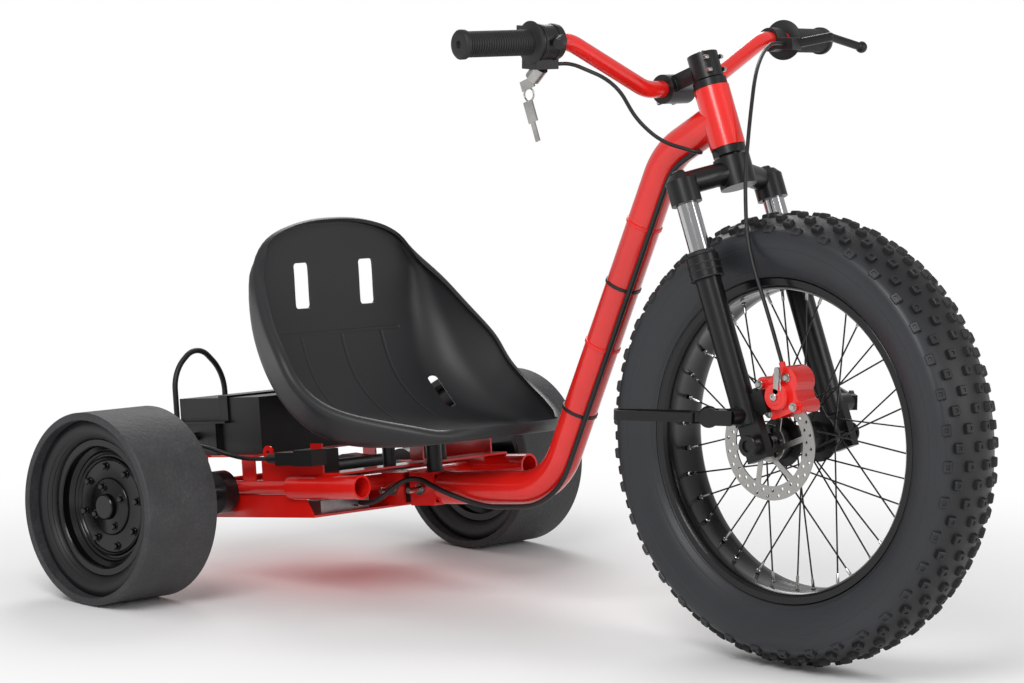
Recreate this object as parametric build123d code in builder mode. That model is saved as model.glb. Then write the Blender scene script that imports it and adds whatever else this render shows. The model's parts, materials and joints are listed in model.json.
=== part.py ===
import os
from math import cos, pi, radians, sin, tan

from build123d import *

# Electric drift trike: a fat steered front wheel, a bent tube frame, a bucket seat and two slick rear wheels.
# +X points forward, +Y to the rider's left, +Z up, and the tyres stand on Z = 0. Lengths are in millimetres.

# Stance
WHEELBASE = 886
FRONT_AXLE_X = 370.5
FRONT_RADIUS = 290
REAR_RADIUS = 131
REAR_TRACK_OUTER = 852
REAR_AXLE_X = FRONT_AXLE_X - WHEELBASE
SEAT_GAP = 0.3
RUN_CLEAR = 0.05

# The rear frame rises towards the nose by this angle, and the steering axis leans back from upright
CHASSIS_PITCH = 7
HEAD_ANGLE = 67.5
AXLE_BEHIND_AXIS = 16
FORK_DROP = 384

chassis = Plane(
    origin=(REAR_AXLE_X, 0, REAR_RADIUS),
    x_dir=(cos(radians(CHASSIS_PITCH)), 0, sin(radians(CHASSIS_PITCH))),
    z_dir=(-sin(radians(CHASSIS_PITCH)), 0, cos(radians(CHASSIS_PITCH))),
)
steer_forward = Vector(sin(radians(HEAD_ANGLE)), 0, cos(radians(HEAD_ANGLE)))
steer_up = Vector(-cos(radians(HEAD_ANGLE)), 0, sin(radians(HEAD_ANGLE)))
front_axle_point = Vector(FRONT_AXLE_X, 0, FRONT_RADIUS)
head_base = front_axle_point + steer_up * FORK_DROP + steer_forward * AXLE_BEHIND_AXIS
steer = Plane(origin=head_base, x_dir=steer_forward, z_dir=steer_up)
LYING = (90, 0, 0)
FORWARD = (0, 90, 0)

# Frame tubes
MAIN_OD = 46
MAIN_WALL = 2.5
HEAD_OD = 46
HEAD_BORE = 34
HEAD_LENGTH = 80
NECK_BACK = 99.5
NECK_UP = 24
NECK_JOINS_AT = 40
MAIN_BEND = 90
ELBOW_AHEAD = 467
BEAM_DROP = 11

# Square telescoping joint between the main tube and the rear frame
BEAM_SIZE = 38
BOX_SIZE = 46
BOX_WALL = 3.5
FRONT_BOX_START = 216
FRONT_BOX_END = 262
REAR_BOX_START = 120
REAR_BOX_END = 203
BEAM_START = 124
BEAM_END = 256
BOLT_SHANK_R = 4
BOLT_HEAD_R = 6.5
BOLT_REACH = 26
FRONT_BOLT_AHEAD = 238
REAR_BOLT_AHEAD = 184

# Rear frame
RAIL_SIDE = 165
RAIL_RISE = 5
THICK_OD = 33
THICK_WALL = 3
THICK_START = 130
THICK_END = 268
THIN_OD = 19
THIN_START = -70
CROSS_OD = 25
CROSS_AHEAD = 156
SHEET = 3
TRAY_FLOOR = -37
TRAY_BACK = -60
TRAY_FRONT = 172
TRAY_SLOPE = 16
TOP_PLATE_START = 186
TOP_PLATE_END = 226

# Seat
SEAT_WALL = 5
SEAT_SHIFT = FRONT_AXLE_X - 443

# Rear axle and wheels
SHAFT_R = 10
SHAFT_HALF = 391
BEARING_R = 30
BEARING_THICK = 22
SLEEVE_WIDTH = 122
SLEEVE_WALL = 10.5
WHEEL_CENTRE_Y = REAR_TRACK_OUTER / 2 - SLEEVE_WIDTH / 2

# Battery and drive
SHELF_RISE = 47
BATTERY_BACK = -110
BATTERY_FRONT = 57
BATTERY_HALF = 150
BATTERY_BASE = SHELF_RISE + SHEET
BATTERY_TOP = 130
STRAP_AHEAD = -15
STRAP_WIDTH = 18
PLATE_START = 72
PLATE_END = 195
PLATE_TOP = 45
EAR_R = 10
MOTOR_R = 33
MOTOR_HALF = 60
MOTOR_AHEAD = 78
MOTOR_RISE = -0.7
GUARD_R = 32
GUARD_NOSE_R = 24

# Cords and their glands, left and up in the rear frame
LEAD_R = 4
LEAD_GLANDS = (-150, -56)
LEAD_BASE = 100
LEAD_TOP = 182
GLAND_SIZE = 16
CHARGE_R = 3
CHARGE_LEFT = -182.5
CHARGE_RISE = 46
CHARGE_GLAND = -78
CHARGE_GLAND_RISE = 76
LOOM_R = 3.5
LOOM_BELOW = 23.8
LOOM_LEFT = -14
LOOM_LEFT_END = -75
LOOM_RISE_END = -25
CABLE_R = 2.5

# Front wheel
TYRE_HALF = 54
LUG_HEIGHT = 7
LUG_COUNT = 38
LUG_DEPTH = 4
TYRE_WALL = 5
RIM_OUTER_R = 206
RIM_BED_R = 198
RIM_INNER_R = 191
RIM_HALF = 37.5
RIM_LIP = 3
HUB_R = 19
HUB_FLANGE_R = 32
HUB_FLANGE_THICK = 3.5
HUB_FLANGE_Y = 36
HUB_HALF = 66
HUB_CAP_R = 12
DISC_BOSS_R = 22
AXLE_R = 5
SPOKES_PER_SIDE = 18
SPOKE_R = 1.1
SPOKE_CROSS = 58
ROTOR_R = 72
ROTOR_THICK = 2
ROTOR_Y = 59
ROTOR_INNER_R = 54
ROTOR_ARMS = 6
ROTOR_BOSS_R = 24
ROTOR_VENTS = 24
ROTOR_VENT_R = 2.2

# Fork, in the steering frame: forward, left, up along the steering axis from the bottom of the head tube
LEG_Y = 85
LEG_FORWARD = -20
STANCHION_R = 14
CROWN_TOP = -14
CROWN_BASE = -53
SOCKET_TOP = -35
SOCKET_BASE = -66
SOCKET_R = 20
STEERER_R = 14
LOWER_TOP = -136
COLLAR_R = 21
COLLAR_LENGTH = 29
LEG_R = 16.5
DROPOUT_TOP = -345
DROPOUT_BASE = -404
DROPOUT_HALF = 17
DROPOUT_THICK = 13

# Stem and bar
STEM_BASE = 92
STEM_HEIGHT = 34
STEM_R = 20
BAR_R = 11.1
BAR_BACK = 60
BAR_UP = 101
BAR_FLAT = 55
BAR_WIDE = 190
BAR_RISE = 62
BAR_HALF = 352
BAR_SWEEP = 30
BAR_END_RISE = 8
GRIP_R = 16.5
GRIP_LENGTH = 108
GRIP_FLANGE_R = 27
GRIP_CAP = 4
THROTTLE_START = 110
THROTTLE_END = 146
THROTTLE_R = 22
THROTTLE_Y = 226
PERCH_START = 122
PERCH_END = 148
CALIPER_AHEAD = 34
CALIPER_Y = 61
CALIPER_WIDE = 36
CALIPER_UP = -336
CABLE_END_Y = -70

# Foot pegs
PEG_PIVOT_Y = 135
PEG_LEVEL = -344
PEG_TURN = 50
PEG_LENGTH = 118
PEG_WIDTH = 26
PEG_CLEVIS_R = 12.5
PEG_PIN_R = 4
PEG_LINK = 24
PEG_BARREL_R = 9
PEG_BARREL_HALF = 7
PEG_LOOP_START = 17
PEG_HEIGHT = 12
PEG_WALL = 4

os.makedirs("parts", exist_ok=True)


def at(base, point, turn=(0, 0, 0)):
    """Plane at a local point of another plane, turned about that plane's own axes."""
    return Plane(base.location * Location(point, turn))


def world(base, point):
    """A local point of a plane, as a point of the whole model."""
    return base.from_local_coords(Vector(*point))


def keep(builder, name):
    """Label a finished piece and write it out."""
    builder.part.label = name
    export_step(builder.part, f"parts/{name}.step")


def rod(start, end, radius):
    """Add a round bar between two points of the model to the piece being built."""
    with Locations(Plane(origin=start, z_dir=end - start)):
        Cylinder(radius, (end - start).length, align=(Align.CENTER, Align.CENTER, Align.MIN))


def wheel_plane(centre):
    """Profile plane of a wheel: across the wheel by its first number, out from the axle by its second."""
    return Plane(origin=centre, x_dir=(0, 1, 0), z_dir=(1, 0, 0))


def corner_radii(points, share=0.45):
    """The largest arc that each corner of a cord's route allows."""
    radii = []
    for before, here, after in zip(points, points[1:], points[2:]):
        run_in = here - before
        run_out = after - here
        turn = radians(run_in.get_angle(run_out))
        radii.append(share * min(run_in.length, run_out.length) / tan(turn / 2))
    return radii


def cord(points, radius):
    """A cord's tube: straight runs joined by tangent arcs."""
    radii = corner_radii(points)
    print("radii", [round(value, 1) for value in radii])
    with BuildPart() as tube:
        with BuildLine() as route:
            FilletPolyline(*points, radius=radii)
        with BuildSketch(Plane(origin=points[0], z_dir=points[1] - points[0])):
            Circle(radius)
        sweep(path=route.wire())
    section = pi * radius ** 2
    print("volume over section by length", round(tube.part.volume / (section * route.wire().length), 4))
    return tube


# Frame: main tube with its elbow under the seat and its neck behind the head tube
tube_rear = world(chassis, (FRONT_BOX_END, 0, -BEAM_DROP))
elbow = world(chassis, (ELBOW_AHEAD, 0, -BEAM_DROP))
neck = world(steer, (-NECK_BACK, 0, NECK_UP))
neck_end = world(steer, (0, 0, NECK_JOINS_AT))

with BuildPart() as main_tube:
    with BuildLine() as tube_route:
        FilletPolyline(tube_rear, elbow, neck, neck_end, radius=[MAIN_BEND, MAIN_BEND])
    with BuildSketch(Plane(origin=tube_rear, x_dir=(0, 1, 0), z_dir=elbow - tube_rear)):
        Circle(MAIN_OD / 2)
        Circle(MAIN_OD / 2 - MAIN_WALL, mode=Mode.SUBTRACT)
    sweep(path=tube_route.wire())
    with BuildSketch(steer.offset(-HEAD_LENGTH)):
        Circle(HEAD_OD / 2)
    extrude(amount=3 * HEAD_LENGTH, mode=Mode.SUBTRACT)
    split(bisect_by=at(steer, (0, 0, 0), (0, -90, 0)), keep=Keep.TOP)
keep(main_tube, "main_tube")

with BuildPart(steer) as head_tube:
    with Locations((0, 0, HEAD_LENGTH / 2)):
        Cylinder(HEAD_OD / 2, HEAD_LENGTH)
        Cylinder(HEAD_BORE / 2, HEAD_LENGTH, mode=Mode.SUBTRACT)
keep(head_tube, "head_tube")

# Telescoping joint: a square bar that slides in a clamp box on each half of the frame
box_mid = (FRONT_BOX_START + FRONT_BOX_END) / 2
with BuildPart(chassis) as front_clamp:
    with Locations((box_mid, 0, -BEAM_DROP)):
        Box(FRONT_BOX_END - FRONT_BOX_START, BOX_SIZE, BOX_SIZE)
        Box(
            FRONT_BOX_END - FRONT_BOX_START,
            BEAM_SIZE + 2 * SEAT_GAP,
            BEAM_SIZE + 2 * SEAT_GAP,
            mode=Mode.SUBTRACT,
        )
keep(front_clamp, "front_clamp")

with BuildPart(chassis) as rear_sleeve:
    with Locations(((REAR_BOX_START + REAR_BOX_END) / 2, 0, -BEAM_DROP)):
        Box(REAR_BOX_END - REAR_BOX_START, BOX_SIZE, BOX_SIZE)
        Box(
            REAR_BOX_END - REAR_BOX_START,
            BEAM_SIZE + 2 * SEAT_GAP,
            BEAM_SIZE + 2 * SEAT_GAP,
            mode=Mode.SUBTRACT,
        )
keep(rear_sleeve, "rear_sleeve")

with BuildPart(chassis) as sliding_beam:
    with Locations(((BEAM_START + BEAM_END) / 2, 0, -BEAM_DROP)):
        Box(BEAM_END - BEAM_START, BEAM_SIZE, BEAM_SIZE)
        Box(BEAM_END - BEAM_START, BEAM_SIZE - 2 * BOX_WALL, BEAM_SIZE - 2 * BOX_WALL, mode=Mode.SUBTRACT)
keep(sliding_beam, "sliding_beam")

with BuildPart(chassis) as clamp_bolts:
    for bolt_ahead in (REAR_BOLT_AHEAD, FRONT_BOLT_AHEAD):
        bolt_y = -BOX_SIZE / 2 - BOLT_REACH / 2
        with Locations((bolt_ahead, bolt_y, -BEAM_DROP)):
            Cylinder(BOLT_SHANK_R, BOLT_REACH, rotation=LYING)
        with Locations((bolt_ahead, -BOX_SIZE / 2 - 2.5, -BEAM_DROP)):
            Cylinder(BOLT_HEAD_R + 2, 5, rotation=LYING)
keep(clamp_bolts, "clamp_bolts")

# Rear frame
with BuildPart(chassis) as side_rails:
    for side in (-1, 1):
        with Locations(((THICK_START + THICK_END) / 2, side * RAIL_SIDE, RAIL_RISE)):
            Cylinder(THICK_OD / 2, THICK_END - THICK_START, rotation=FORWARD)
        with Locations(((THIN_START + THICK_START) / 2, side * RAIL_SIDE, RAIL_RISE)):
            Cylinder(THIN_OD / 2, THICK_START - THIN_START, rotation=FORWARD)
        with Locations(((THICK_START + 8 + THICK_END) / 2, side * RAIL_SIDE, RAIL_RISE)):
            bore_length = THICK_END - THICK_START - 8
            Cylinder(THICK_OD / 2 - THICK_WALL, bore_length, rotation=FORWARD, mode=Mode.SUBTRACT)
        with Locations((0, side * RAIL_SIDE, 0)):
            Cylinder(SHAFT_R + 1.5, 2 * THIN_OD, rotation=LYING, mode=Mode.SUBTRACT)
keep(side_rails, "side_rails")

rail_inner = RAIL_SIDE - THICK_OD / 2
cross_length = rail_inner - BOX_SIZE / 2
with BuildPart(chassis) as cross_tubes:
    for side in (-1, 1):
        with Locations((CROSS_AHEAD, side * (BOX_SIZE / 2 + cross_length / 2), 0)):
            Cylinder(CROSS_OD / 2, cross_length, rotation=LYING)
keep(cross_tubes, "cross_tubes")

back_length = 2 * (RAIL_SIDE - THIN_OD / 2)
with BuildPart(chassis) as back_tube:
    with Locations((THIN_START + THIN_OD / 2, 0, RAIL_RISE)):
        Cylinder(THIN_OD / 2, back_length, rotation=LYING)
keep(back_tube, "back_tube")

# Folded tray under the rails, open at the nose, and the plate that ties the rails over the sliding beam
thin_under = RAIL_RISE - THIN_OD / 2 - SEAT_GAP
thick_under = RAIL_RISE - THICK_OD / 2 - SEAT_GAP
with BuildPart() as tray:
    with BuildSketch(at(chassis, (0, -RAIL_SIDE + SHEET / 2, 0), (90, 0, 0))):
        with BuildLine():
            Polyline(
                (TRAY_BACK, TRAY_FLOOR),
                (TRAY_FRONT, TRAY_FLOOR),
                (TRAY_FRONT - TRAY_SLOPE, thick_under),
                (THICK_START - SEAT_GAP, thick_under),
                (THICK_START - SEAT_GAP, thin_under),
                (TRAY_BACK, thin_under),
                close=True,
            )
        make_face()
        with Locations((0, 0)):
            Circle(SHAFT_R + 1.5, mode=Mode.SUBTRACT)
    extrude(amount=SHEET)
    mirror(about=Plane.XZ)
    with BuildSketch(at(chassis, (0, 0, TRAY_FLOOR))):
        with Locations(((TRAY_BACK + TRAY_FRONT) / 2, 0)):
            Rectangle(TRAY_FRONT - TRAY_BACK, 2 * RAIL_SIDE)
    extrude(amount=SHEET)
keep(tray, "tray")

rail_top = RAIL_RISE + THICK_OD / 2
with BuildPart(chassis) as top_plate:
    with Locations(((TOP_PLATE_START + TOP_PLATE_END) / 2, 0, rail_top + SHEET / 2)):
        Box(TOP_PLATE_END - TOP_PLATE_START, 2 * RAIL_SIDE, SHEET)
keep(top_plate, "top_plate")

# Flange bearings that carry the live axle outside the rails
bearing_inner = RAIL_SIDE + THIN_OD / 2
with BuildPart(chassis) as axle_bearings:
    for side in (-1, 1):
        with Locations((0, side * (bearing_inner + BEARING_THICK / 2), 0)):
            Cylinder(BEARING_R, BEARING_THICK, rotation=LYING)
            Cylinder(SHAFT_R + RUN_CLEAR, BEARING_THICK, rotation=LYING, mode=Mode.SUBTRACT)
keep(axle_bearings, "axle_bearings")

# Upright plates on the rails, with a round ear and a tall ear
thin_top = RAIL_RISE + THIN_OD / 2
with BuildPart() as ear_plates:
    with BuildSketch(at(chassis, (0, -RAIL_SIDE + SHEET / 2, 0), (90, 0, 0))):
        with BuildLine():
            Polyline(
                (PLATE_START, thin_top),
                (THICK_START, thin_top),
                (THICK_START, rail_top),
                (TOP_PLATE_START, rail_top),
                (TOP_PLATE_START, rail_top + SHEET),
                (PLATE_END, rail_top + SHEET),
                (PLATE_END, PLATE_TOP + 20),
                (PLATE_END - 22, PLATE_TOP + 20),
                (PLATE_END - 22, PLATE_TOP),
                (PLATE_START, PLATE_TOP),
                close=True,
            )
        make_face()
        with Locations((PLATE_START + EAR_R + 4, PLATE_TOP + 8)):
            Circle(EAR_R)
            Circle(3.5, mode=Mode.SUBTRACT)
    extrude(amount=SHEET)
    mirror(about=Plane.XZ)
keep(ear_plates, "ear_plates")

# Battery on its shelf over the axle, held down by a strap with a tab on each side
with BuildPart(chassis) as battery_shelf:
    shelf_half = RAIL_SIDE - SHEET
    with Locations(((BATTERY_BACK - 22 + BATTERY_FRONT) / 2, 0, SHELF_RISE + SHEET / 2)):
        Box(BATTERY_FRONT - BATTERY_BACK + 22, 2 * shelf_half, SHEET)
    leg_height = SHELF_RISE - thin_top
    for side in (-1, 1):
        for leg_ahead in (-55, 44):
            with Locations((leg_ahead, side * RAIL_SIDE, thin_top + leg_height / 2)):
                Box(26, SHEET, leg_height)
            with Locations((leg_ahead, side * (RAIL_SIDE - SHEET), SHELF_RISE + SHEET / 2)):
                Box(26, 3 * SHEET, SHEET)
keep(battery_shelf, "battery_shelf")

with BuildPart(chassis) as battery_box:
    with Locations(((BATTERY_BACK + BATTERY_FRONT) / 2, 0, (BATTERY_BASE + BATTERY_TOP) / 2)):
        Box(BATTERY_FRONT - BATTERY_BACK, 2 * BATTERY_HALF, BATTERY_TOP - BATTERY_BASE)
    for left in LEAD_GLANDS:
        with Locations((BATTERY_BACK - GLAND_SIZE / 2, left, LEAD_BASE - GLAND_SIZE / 2)):
            Box(GLAND_SIZE, GLAND_SIZE, GLAND_SIZE)
    with Locations((CHARGE_GLAND, -BATTERY_HALF - 4, CHARGE_GLAND_RISE)):
        Cylinder(6, 8, rotation=LYING)
keep(battery_box, "battery_box")

with BuildPart(chassis) as battery_strap:
    with Locations((STRAP_AHEAD, 0, BATTERY_TOP + SHEET / 2)):
        Box(STRAP_WIDTH, 2 * BATTERY_HALF + 2 * SHEET, SHEET)
    for side in (-1, 1):
        with Locations((STRAP_AHEAD, side * (BATTERY_HALF + SHEET / 2), BATTERY_TOP - 16)):
            Box(STRAP_WIDTH, SHEET, 38)
        with Locations((STRAP_AHEAD - 38, side * (BATTERY_HALF + 5), BATTERY_TOP - 34)):
            Box(94, 10, SHEET)
        with Locations((STRAP_AHEAD - 22, side * (BATTERY_HALF + 7), (BATTERY_BASE + BATTERY_TOP - 35) / 2)):
            Box(18, SHEET, BATTERY_TOP - 36 - BATTERY_BASE)
keep(battery_strap, "battery_strap")

# Drive motor in the tray, the guard of its chain to the axle, the speed controller and the relay box
with BuildPart(chassis) as drive_motor:
    with Locations((MOTOR_AHEAD, 0, MOTOR_RISE)):
        Cylinder(MOTOR_R, 2 * MOTOR_HALF, rotation=LYING)
keep(drive_motor, "drive_motor")

with BuildPart() as chain_guard:
    with BuildSketch(at(chassis, (0, MOTOR_HALF, 0), (90, 0, 0))):
        Circle(GUARD_R)
        with Locations((MOTOR_AHEAD, MOTOR_RISE)):
            Circle(GUARD_NOSE_R)
        with BuildLine():
            Polyline(
                (0, -GUARD_R),
                (MOTOR_AHEAD, -GUARD_NOSE_R),
                (MOTOR_AHEAD, GUARD_NOSE_R),
                (0, GUARD_R),
                close=True,
            )
        make_face()
        Circle(SHAFT_R + 3, mode=Mode.SUBTRACT)
    extrude(amount=-24)
keep(chain_guard, "chain_guard")

with BuildPart(chassis) as controller:
    with Locations((138, -96, TRAY_FLOOR + SHEET + 9)):
        Box(44, 92, 18)
    with Locations((160 + 4, LOOM_LEFT_END, LOOM_RISE_END)):
        Cylinder(5, 8, rotation=FORWARD)
keep(controller, "controller")

with BuildPart(chassis) as relay_box:
    with Locations((154, -RAIL_SIDE + SHEET + 22, rail_top + 17)):
        Box(50, 40, 34)
keep(relay_box, "relay_box")

plate_face = RAIL_SIDE + SHEET / 2
with BuildPart(chassis) as charge_socket:
    with Locations((186, -plate_face - 14, 47)):
        Box(36, 28, 22)
keep(charge_socket, "charge_socket")

with BuildPart(chassis) as charge_plug:
    with Locations((148, -plate_face - 16, 46)):
        Box(40, 20, 18)
    with Locations((117, -plate_face - 16, 46)):
        Cylinder(6.5, 22, rotation=FORWARD)
keep(charge_plug, "charge_plug")

# Seat: a plastic bucket, lofted through stations across it that follow the back down and the floor forward
seat_stations = [
    # x, z, slope of the path, half width, depth, corner radius, draft
    (-429, 500, -83, 118, 8, 5, 3),
    (-427, 487, -83, 143, 14, 10, 5),
    (-418, 450, -82, 170, 27, 21, 10),
    (-406, 370, -78, 200, 62, 50, 26),
    (-362, 280, -48, 214, 82, 70, 40),
    (-288, 233, -18, 215, 66, 55, 38),
    (-208, 222, 0, 208, 42, 34, 30),
    (-120, 227, 6, 164, 26, 20, 20),
    (-50, 240, 13, 106, 12, 9, 5),
    (-18, 246, 15, 52, 5, 3, 2),
]


def seat_face(station, wall, rise):
    """Cross-section of the bucket: a tray shape with rounded lower corners, grown or shrunk by a wall."""
    x, z, slope, half, depth, corner, draft = station
    forward = Vector(cos(radians(slope)), 0, sin(radians(slope)))
    plane = Plane(origin=(x + SEAT_SHIFT, 0, z), x_dir=(0, 1, 0), z_dir=forward)
    with BuildSketch(plane) as face:
        with BuildLine():
            Polyline(
                (-half - wall, depth + rise),
                (-half + draft - wall, -wall),
                (half - draft + wall, -wall),
                (half + wall, depth + rise),
                close=True,
            )
        make_face()
        fillet(face.vertices().group_by(Axis.Y)[0], corner + wall)
    return face.sketch.faces()[0]


def seat_wall(station):
    """Cross-section of the seat's wall: the bucket's outer and inner lines, joined at the rim."""
    x, z, slope, half, depth, corner, draft = station
    forward = Vector(cos(radians(slope)), 0, sin(radians(slope)))
    plane = Plane(origin=(x + SEAT_SHIFT, 0, z), x_dir=(0, 1, 0), z_dir=forward)
    with BuildSketch(plane) as face:
        with BuildLine():
            Polyline(
                (-half - SEAT_WALL, depth),
                (-half + draft - SEAT_WALL, -SEAT_WALL),
                (half - draft + SEAT_WALL, -SEAT_WALL),
                (half + SEAT_WALL, depth),
                (half, depth),
                (half - draft, 0),
                (-half + draft, 0),
                (-half, depth),
                close=True,
            )
        make_face()
        fillet(face.vertices().filter_by_position(Axis.Y, -0.01, 0.01), corner)
        fillet(face.vertices().group_by(Axis.Y)[0], corner + SEAT_WALL)
    return face.sketch.faces()[0]


seat_slots = [
    # ahead, left, up, tilt of the wall, width, height
    (-413, -63, 417, -84, 28, 62),
    (-413, 63, 417, -84, 28, 62),
]
side_slots = [
    # ahead, left, up, direction of the slot in side view, width, length
    (-322, -112, 268, -44, 11, 66),
    (-322, 112, 268, -44, 11, 66),
]
with BuildPart() as seat:
    loft([seat_wall(station) for station in seat_stations])
    for ahead, left, up, tilt, width, height in seat_slots + side_slots:
        facing = Vector(-sin(radians(tilt)), 0, cos(radians(tilt)))
        with BuildSketch(Plane(origin=(ahead + SEAT_SHIFT, left, up), x_dir=(0, 1, 0), z_dir=facing)):
            RectangleRounded(width, height, 5)
        extrude(amount=40, both=True, mode=Mode.SUBTRACT)
keep(seat, "seat")

# Bracket that carries the seat: two posts on the top plate and one on the front clamp box
seat_posts = [
    # ahead, left, base, radius
    (206, -50, rail_top + SHEET, 9),
    (206, 50, rail_top + SHEET, 9),
    (244, 0, BOX_SIZE / 2 - BEAM_DROP, 11),
]
with BuildPart(chassis) as seat_bracket:
    for ahead, left, base, radius in seat_posts:
        with Locations((ahead, left, base)):
            Cylinder(radius, 70, align=(Align.CENTER, Align.CENTER, Align.MIN))
    loft([seat_face(station, SEAT_WALL + SEAT_GAP, 60) for station in seat_stations], mode=Mode.SUBTRACT)
keep(seat_bracket, "seat_bracket")

# Fork and headset
with BuildPart(steer) as headset:
    for low in (-10 - SEAT_GAP, HEAD_LENGTH + SEAT_GAP):
        with Locations((0, 0, low + 5)):
            Cylinder(HEAD_OD / 2 - 1, 10)
            Cylinder(STEERER_R + RUN_CLEAR, 10, mode=Mode.SUBTRACT)
keep(headset, "headset")

with BuildPart(steer) as steerer:
    with Locations((0, 0, (CROWN_TOP + STEM_BASE + STEM_HEIGHT) / 2)):
        Cylinder(STEERER_R, STEM_BASE + STEM_HEIGHT - CROWN_TOP)
keep(steerer, "steerer")

with BuildPart() as fork_crown:
    with Locations(at(steer, (0, 0, (CROWN_TOP + CROWN_BASE) / 2))):
        Cylinder(24, CROWN_TOP - CROWN_BASE)
    for side in (-1, 1):
        with Locations(at(steer, (LEG_FORWARD, side * LEG_Y, (SOCKET_TOP + SOCKET_BASE) / 2))):
            Cylinder(SOCKET_R, SOCKET_TOP - SOCKET_BASE)
        with Locations(at(steer, (LEG_FORWARD, side * LEG_Y, SOCKET_TOP))):
            Cone(SOCKET_R, SOCKET_R - 7, 8, align=(Align.CENTER, Align.CENTER, Align.MIN))
        shoulder = world(steer, (LEG_FORWARD, side * (LEG_Y - 16), SOCKET_TOP - 3))
        rod(world(steer, (0, 0, CROWN_TOP - 17)), shoulder, 15)
        with Locations(Plane(shoulder)):
            Sphere(15)
        with Locations(at(steer, (LEG_FORWARD, side * LEG_Y, SOCKET_BASE))):
            Cylinder(STANCHION_R, 40, mode=Mode.SUBTRACT)
keep(fork_crown, "fork_crown")

with BuildPart(steer) as stanchions:
    stanchion_top = SOCKET_BASE + 20
    for side in (-1, 1):
        with Locations((LEG_FORWARD, side * LEG_Y, (stanchion_top + LOWER_TOP) / 2)):
            Cylinder(STANCHION_R, stanchion_top - LOWER_TOP)
keep(stanchions, "stanchions")

with BuildPart(steer) as fork_lowers:
    for side in (-1, 1):
        with Locations((LEG_FORWARD, side * LEG_Y, LOWER_TOP - COLLAR_LENGTH / 2)):
            Cylinder(COLLAR_R, COLLAR_LENGTH)
        with Locations((LEG_FORWARD, side * LEG_Y, (LOWER_TOP - COLLAR_LENGTH + DROPOUT_TOP - 12) / 2)):
            Cylinder(LEG_R, LOWER_TOP - COLLAR_LENGTH - DROPOUT_TOP + 12)
        with Locations((-AXLE_BEHIND_AXIS, side * LEG_Y, (DROPOUT_TOP + DROPOUT_BASE) / 2)):
            Box(2 * DROPOUT_HALF, DROPOUT_THICK, DROPOUT_TOP - DROPOUT_BASE)
        with Locations((-AXLE_BEHIND_AXIS, side * LEG_Y, -FORK_DROP)):
            Cylinder(AXLE_R, 2 * DROPOUT_THICK, rotation=LYING, mode=Mode.SUBTRACT)
    with Locations((CALIPER_AHEAD - 28, -CALIPER_Y - CALIPER_WIDE / 2 - 4, CALIPER_UP)):
        Box(20, 8, 30)
keep(fork_lowers, "fork_lowers")

with BuildPart(steer) as front_axle:
    with Locations((-AXLE_BEHIND_AXIS, 0, -FORK_DROP)):
        Cylinder(AXLE_R, 2 * (LEG_Y + DROPOUT_THICK / 2), rotation=LYING)
    for side in (-1, 1):
        with Locations((-AXLE_BEHIND_AXIS, side * (LEG_Y + DROPOUT_THICK / 2 + 5), -FORK_DROP)):
            Cylinder(9, 10, rotation=LYING)
keep(front_axle, "front_axle")

# Stem, bar and grips
bar_points = [
    (-BAR_BACK, 0, BAR_UP),
    (-BAR_BACK, BAR_FLAT, BAR_UP),
    (-BAR_BACK + 13, BAR_WIDE, BAR_UP + BAR_RISE),
    (-BAR_BACK + 13 - BAR_SWEEP, BAR_HALF, BAR_UP + BAR_RISE + BAR_END_RISE),
]
bar_left = [world(steer, point) for point in bar_points]
with BuildPart() as handlebar:
    with BuildLine() as bar_route:
        FilletPolyline(*bar_left, radius=[60, 60])
    with BuildSketch(Plane(origin=bar_left[0], z_dir=(0, 1, 0))):
        Circle(BAR_R)
    sweep(path=bar_route.wire())
    mirror(about=Plane.XZ)
keep(handlebar, "handlebar")

with BuildPart(steer) as stem:
    with Locations((0, 0, STEM_BASE + STEM_HEIGHT / 2)):
        Cylinder(STEM_R, STEM_HEIGHT)
    with Locations((-BAR_BACK, 0, BAR_UP)):
        Cylinder(19, 46, rotation=LYING)
    with Locations((-BAR_BACK / 2, 0, STEM_BASE + 11)):
        Box(BAR_BACK, 30, 22)
    with Locations((-BAR_BACK, 0, BAR_UP)):
        Cylinder(BAR_R, 46, rotation=LYING, mode=Mode.SUBTRACT)
    with Locations((0, 0, STEM_BASE + STEM_HEIGHT / 2)):
        Cylinder(STEERER_R, STEM_HEIGHT, mode=Mode.SUBTRACT)
keep(stem, "stem")

grip_line = bar_left[3] - bar_left[2]
grip_way = grip_line / grip_line.length


def bar_plane(from_end, side):
    """Plane across an end of the bar, this far in from its tip. Its normal points to the rider's right."""
    place = bar_left[3] - grip_way * from_end
    return Plane(
        origin=(place.X, side * place.Y, place.Z),
        x_dir=(1, 0, 0),
        z_dir=(-side * grip_way.X, -grip_way.Y, -side * grip_way.Z),
    )


with BuildPart() as grips:
    for side in (-1, 1):
        with BuildSketch(bar_plane(GRIP_LENGTH, side)):
            Circle(GRIP_R)
        extrude(amount=-side * (GRIP_LENGTH + GRIP_CAP))
        with BuildSketch(bar_plane(GRIP_LENGTH, side)):
            Circle(GRIP_FLANGE_R)
        extrude(amount=-side * GRIP_CAP)
        with BuildSketch(bar_plane(GRIP_LENGTH, side)):
            Circle(BAR_R)
        extrude(amount=-side * GRIP_LENGTH, mode=Mode.SUBTRACT)
keep(grips, "grips")


# Controls on the right of the bar: thumb throttle, key switch and hanging keys
with BuildPart() as throttle_housing:
    with BuildSketch(bar_plane(THROTTLE_END, -1)):
        Circle(THROTTLE_R)
        with Locations((-10, -20)):
            Rectangle(30, 28)
        with Locations((-20, 14)):
            Rectangle(34, 12)
        Circle(BAR_R, mode=Mode.SUBTRACT)
    extrude(amount=THROTTLE_END - THROTTLE_START)
keep(throttle_housing, "throttle_housing")

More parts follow.
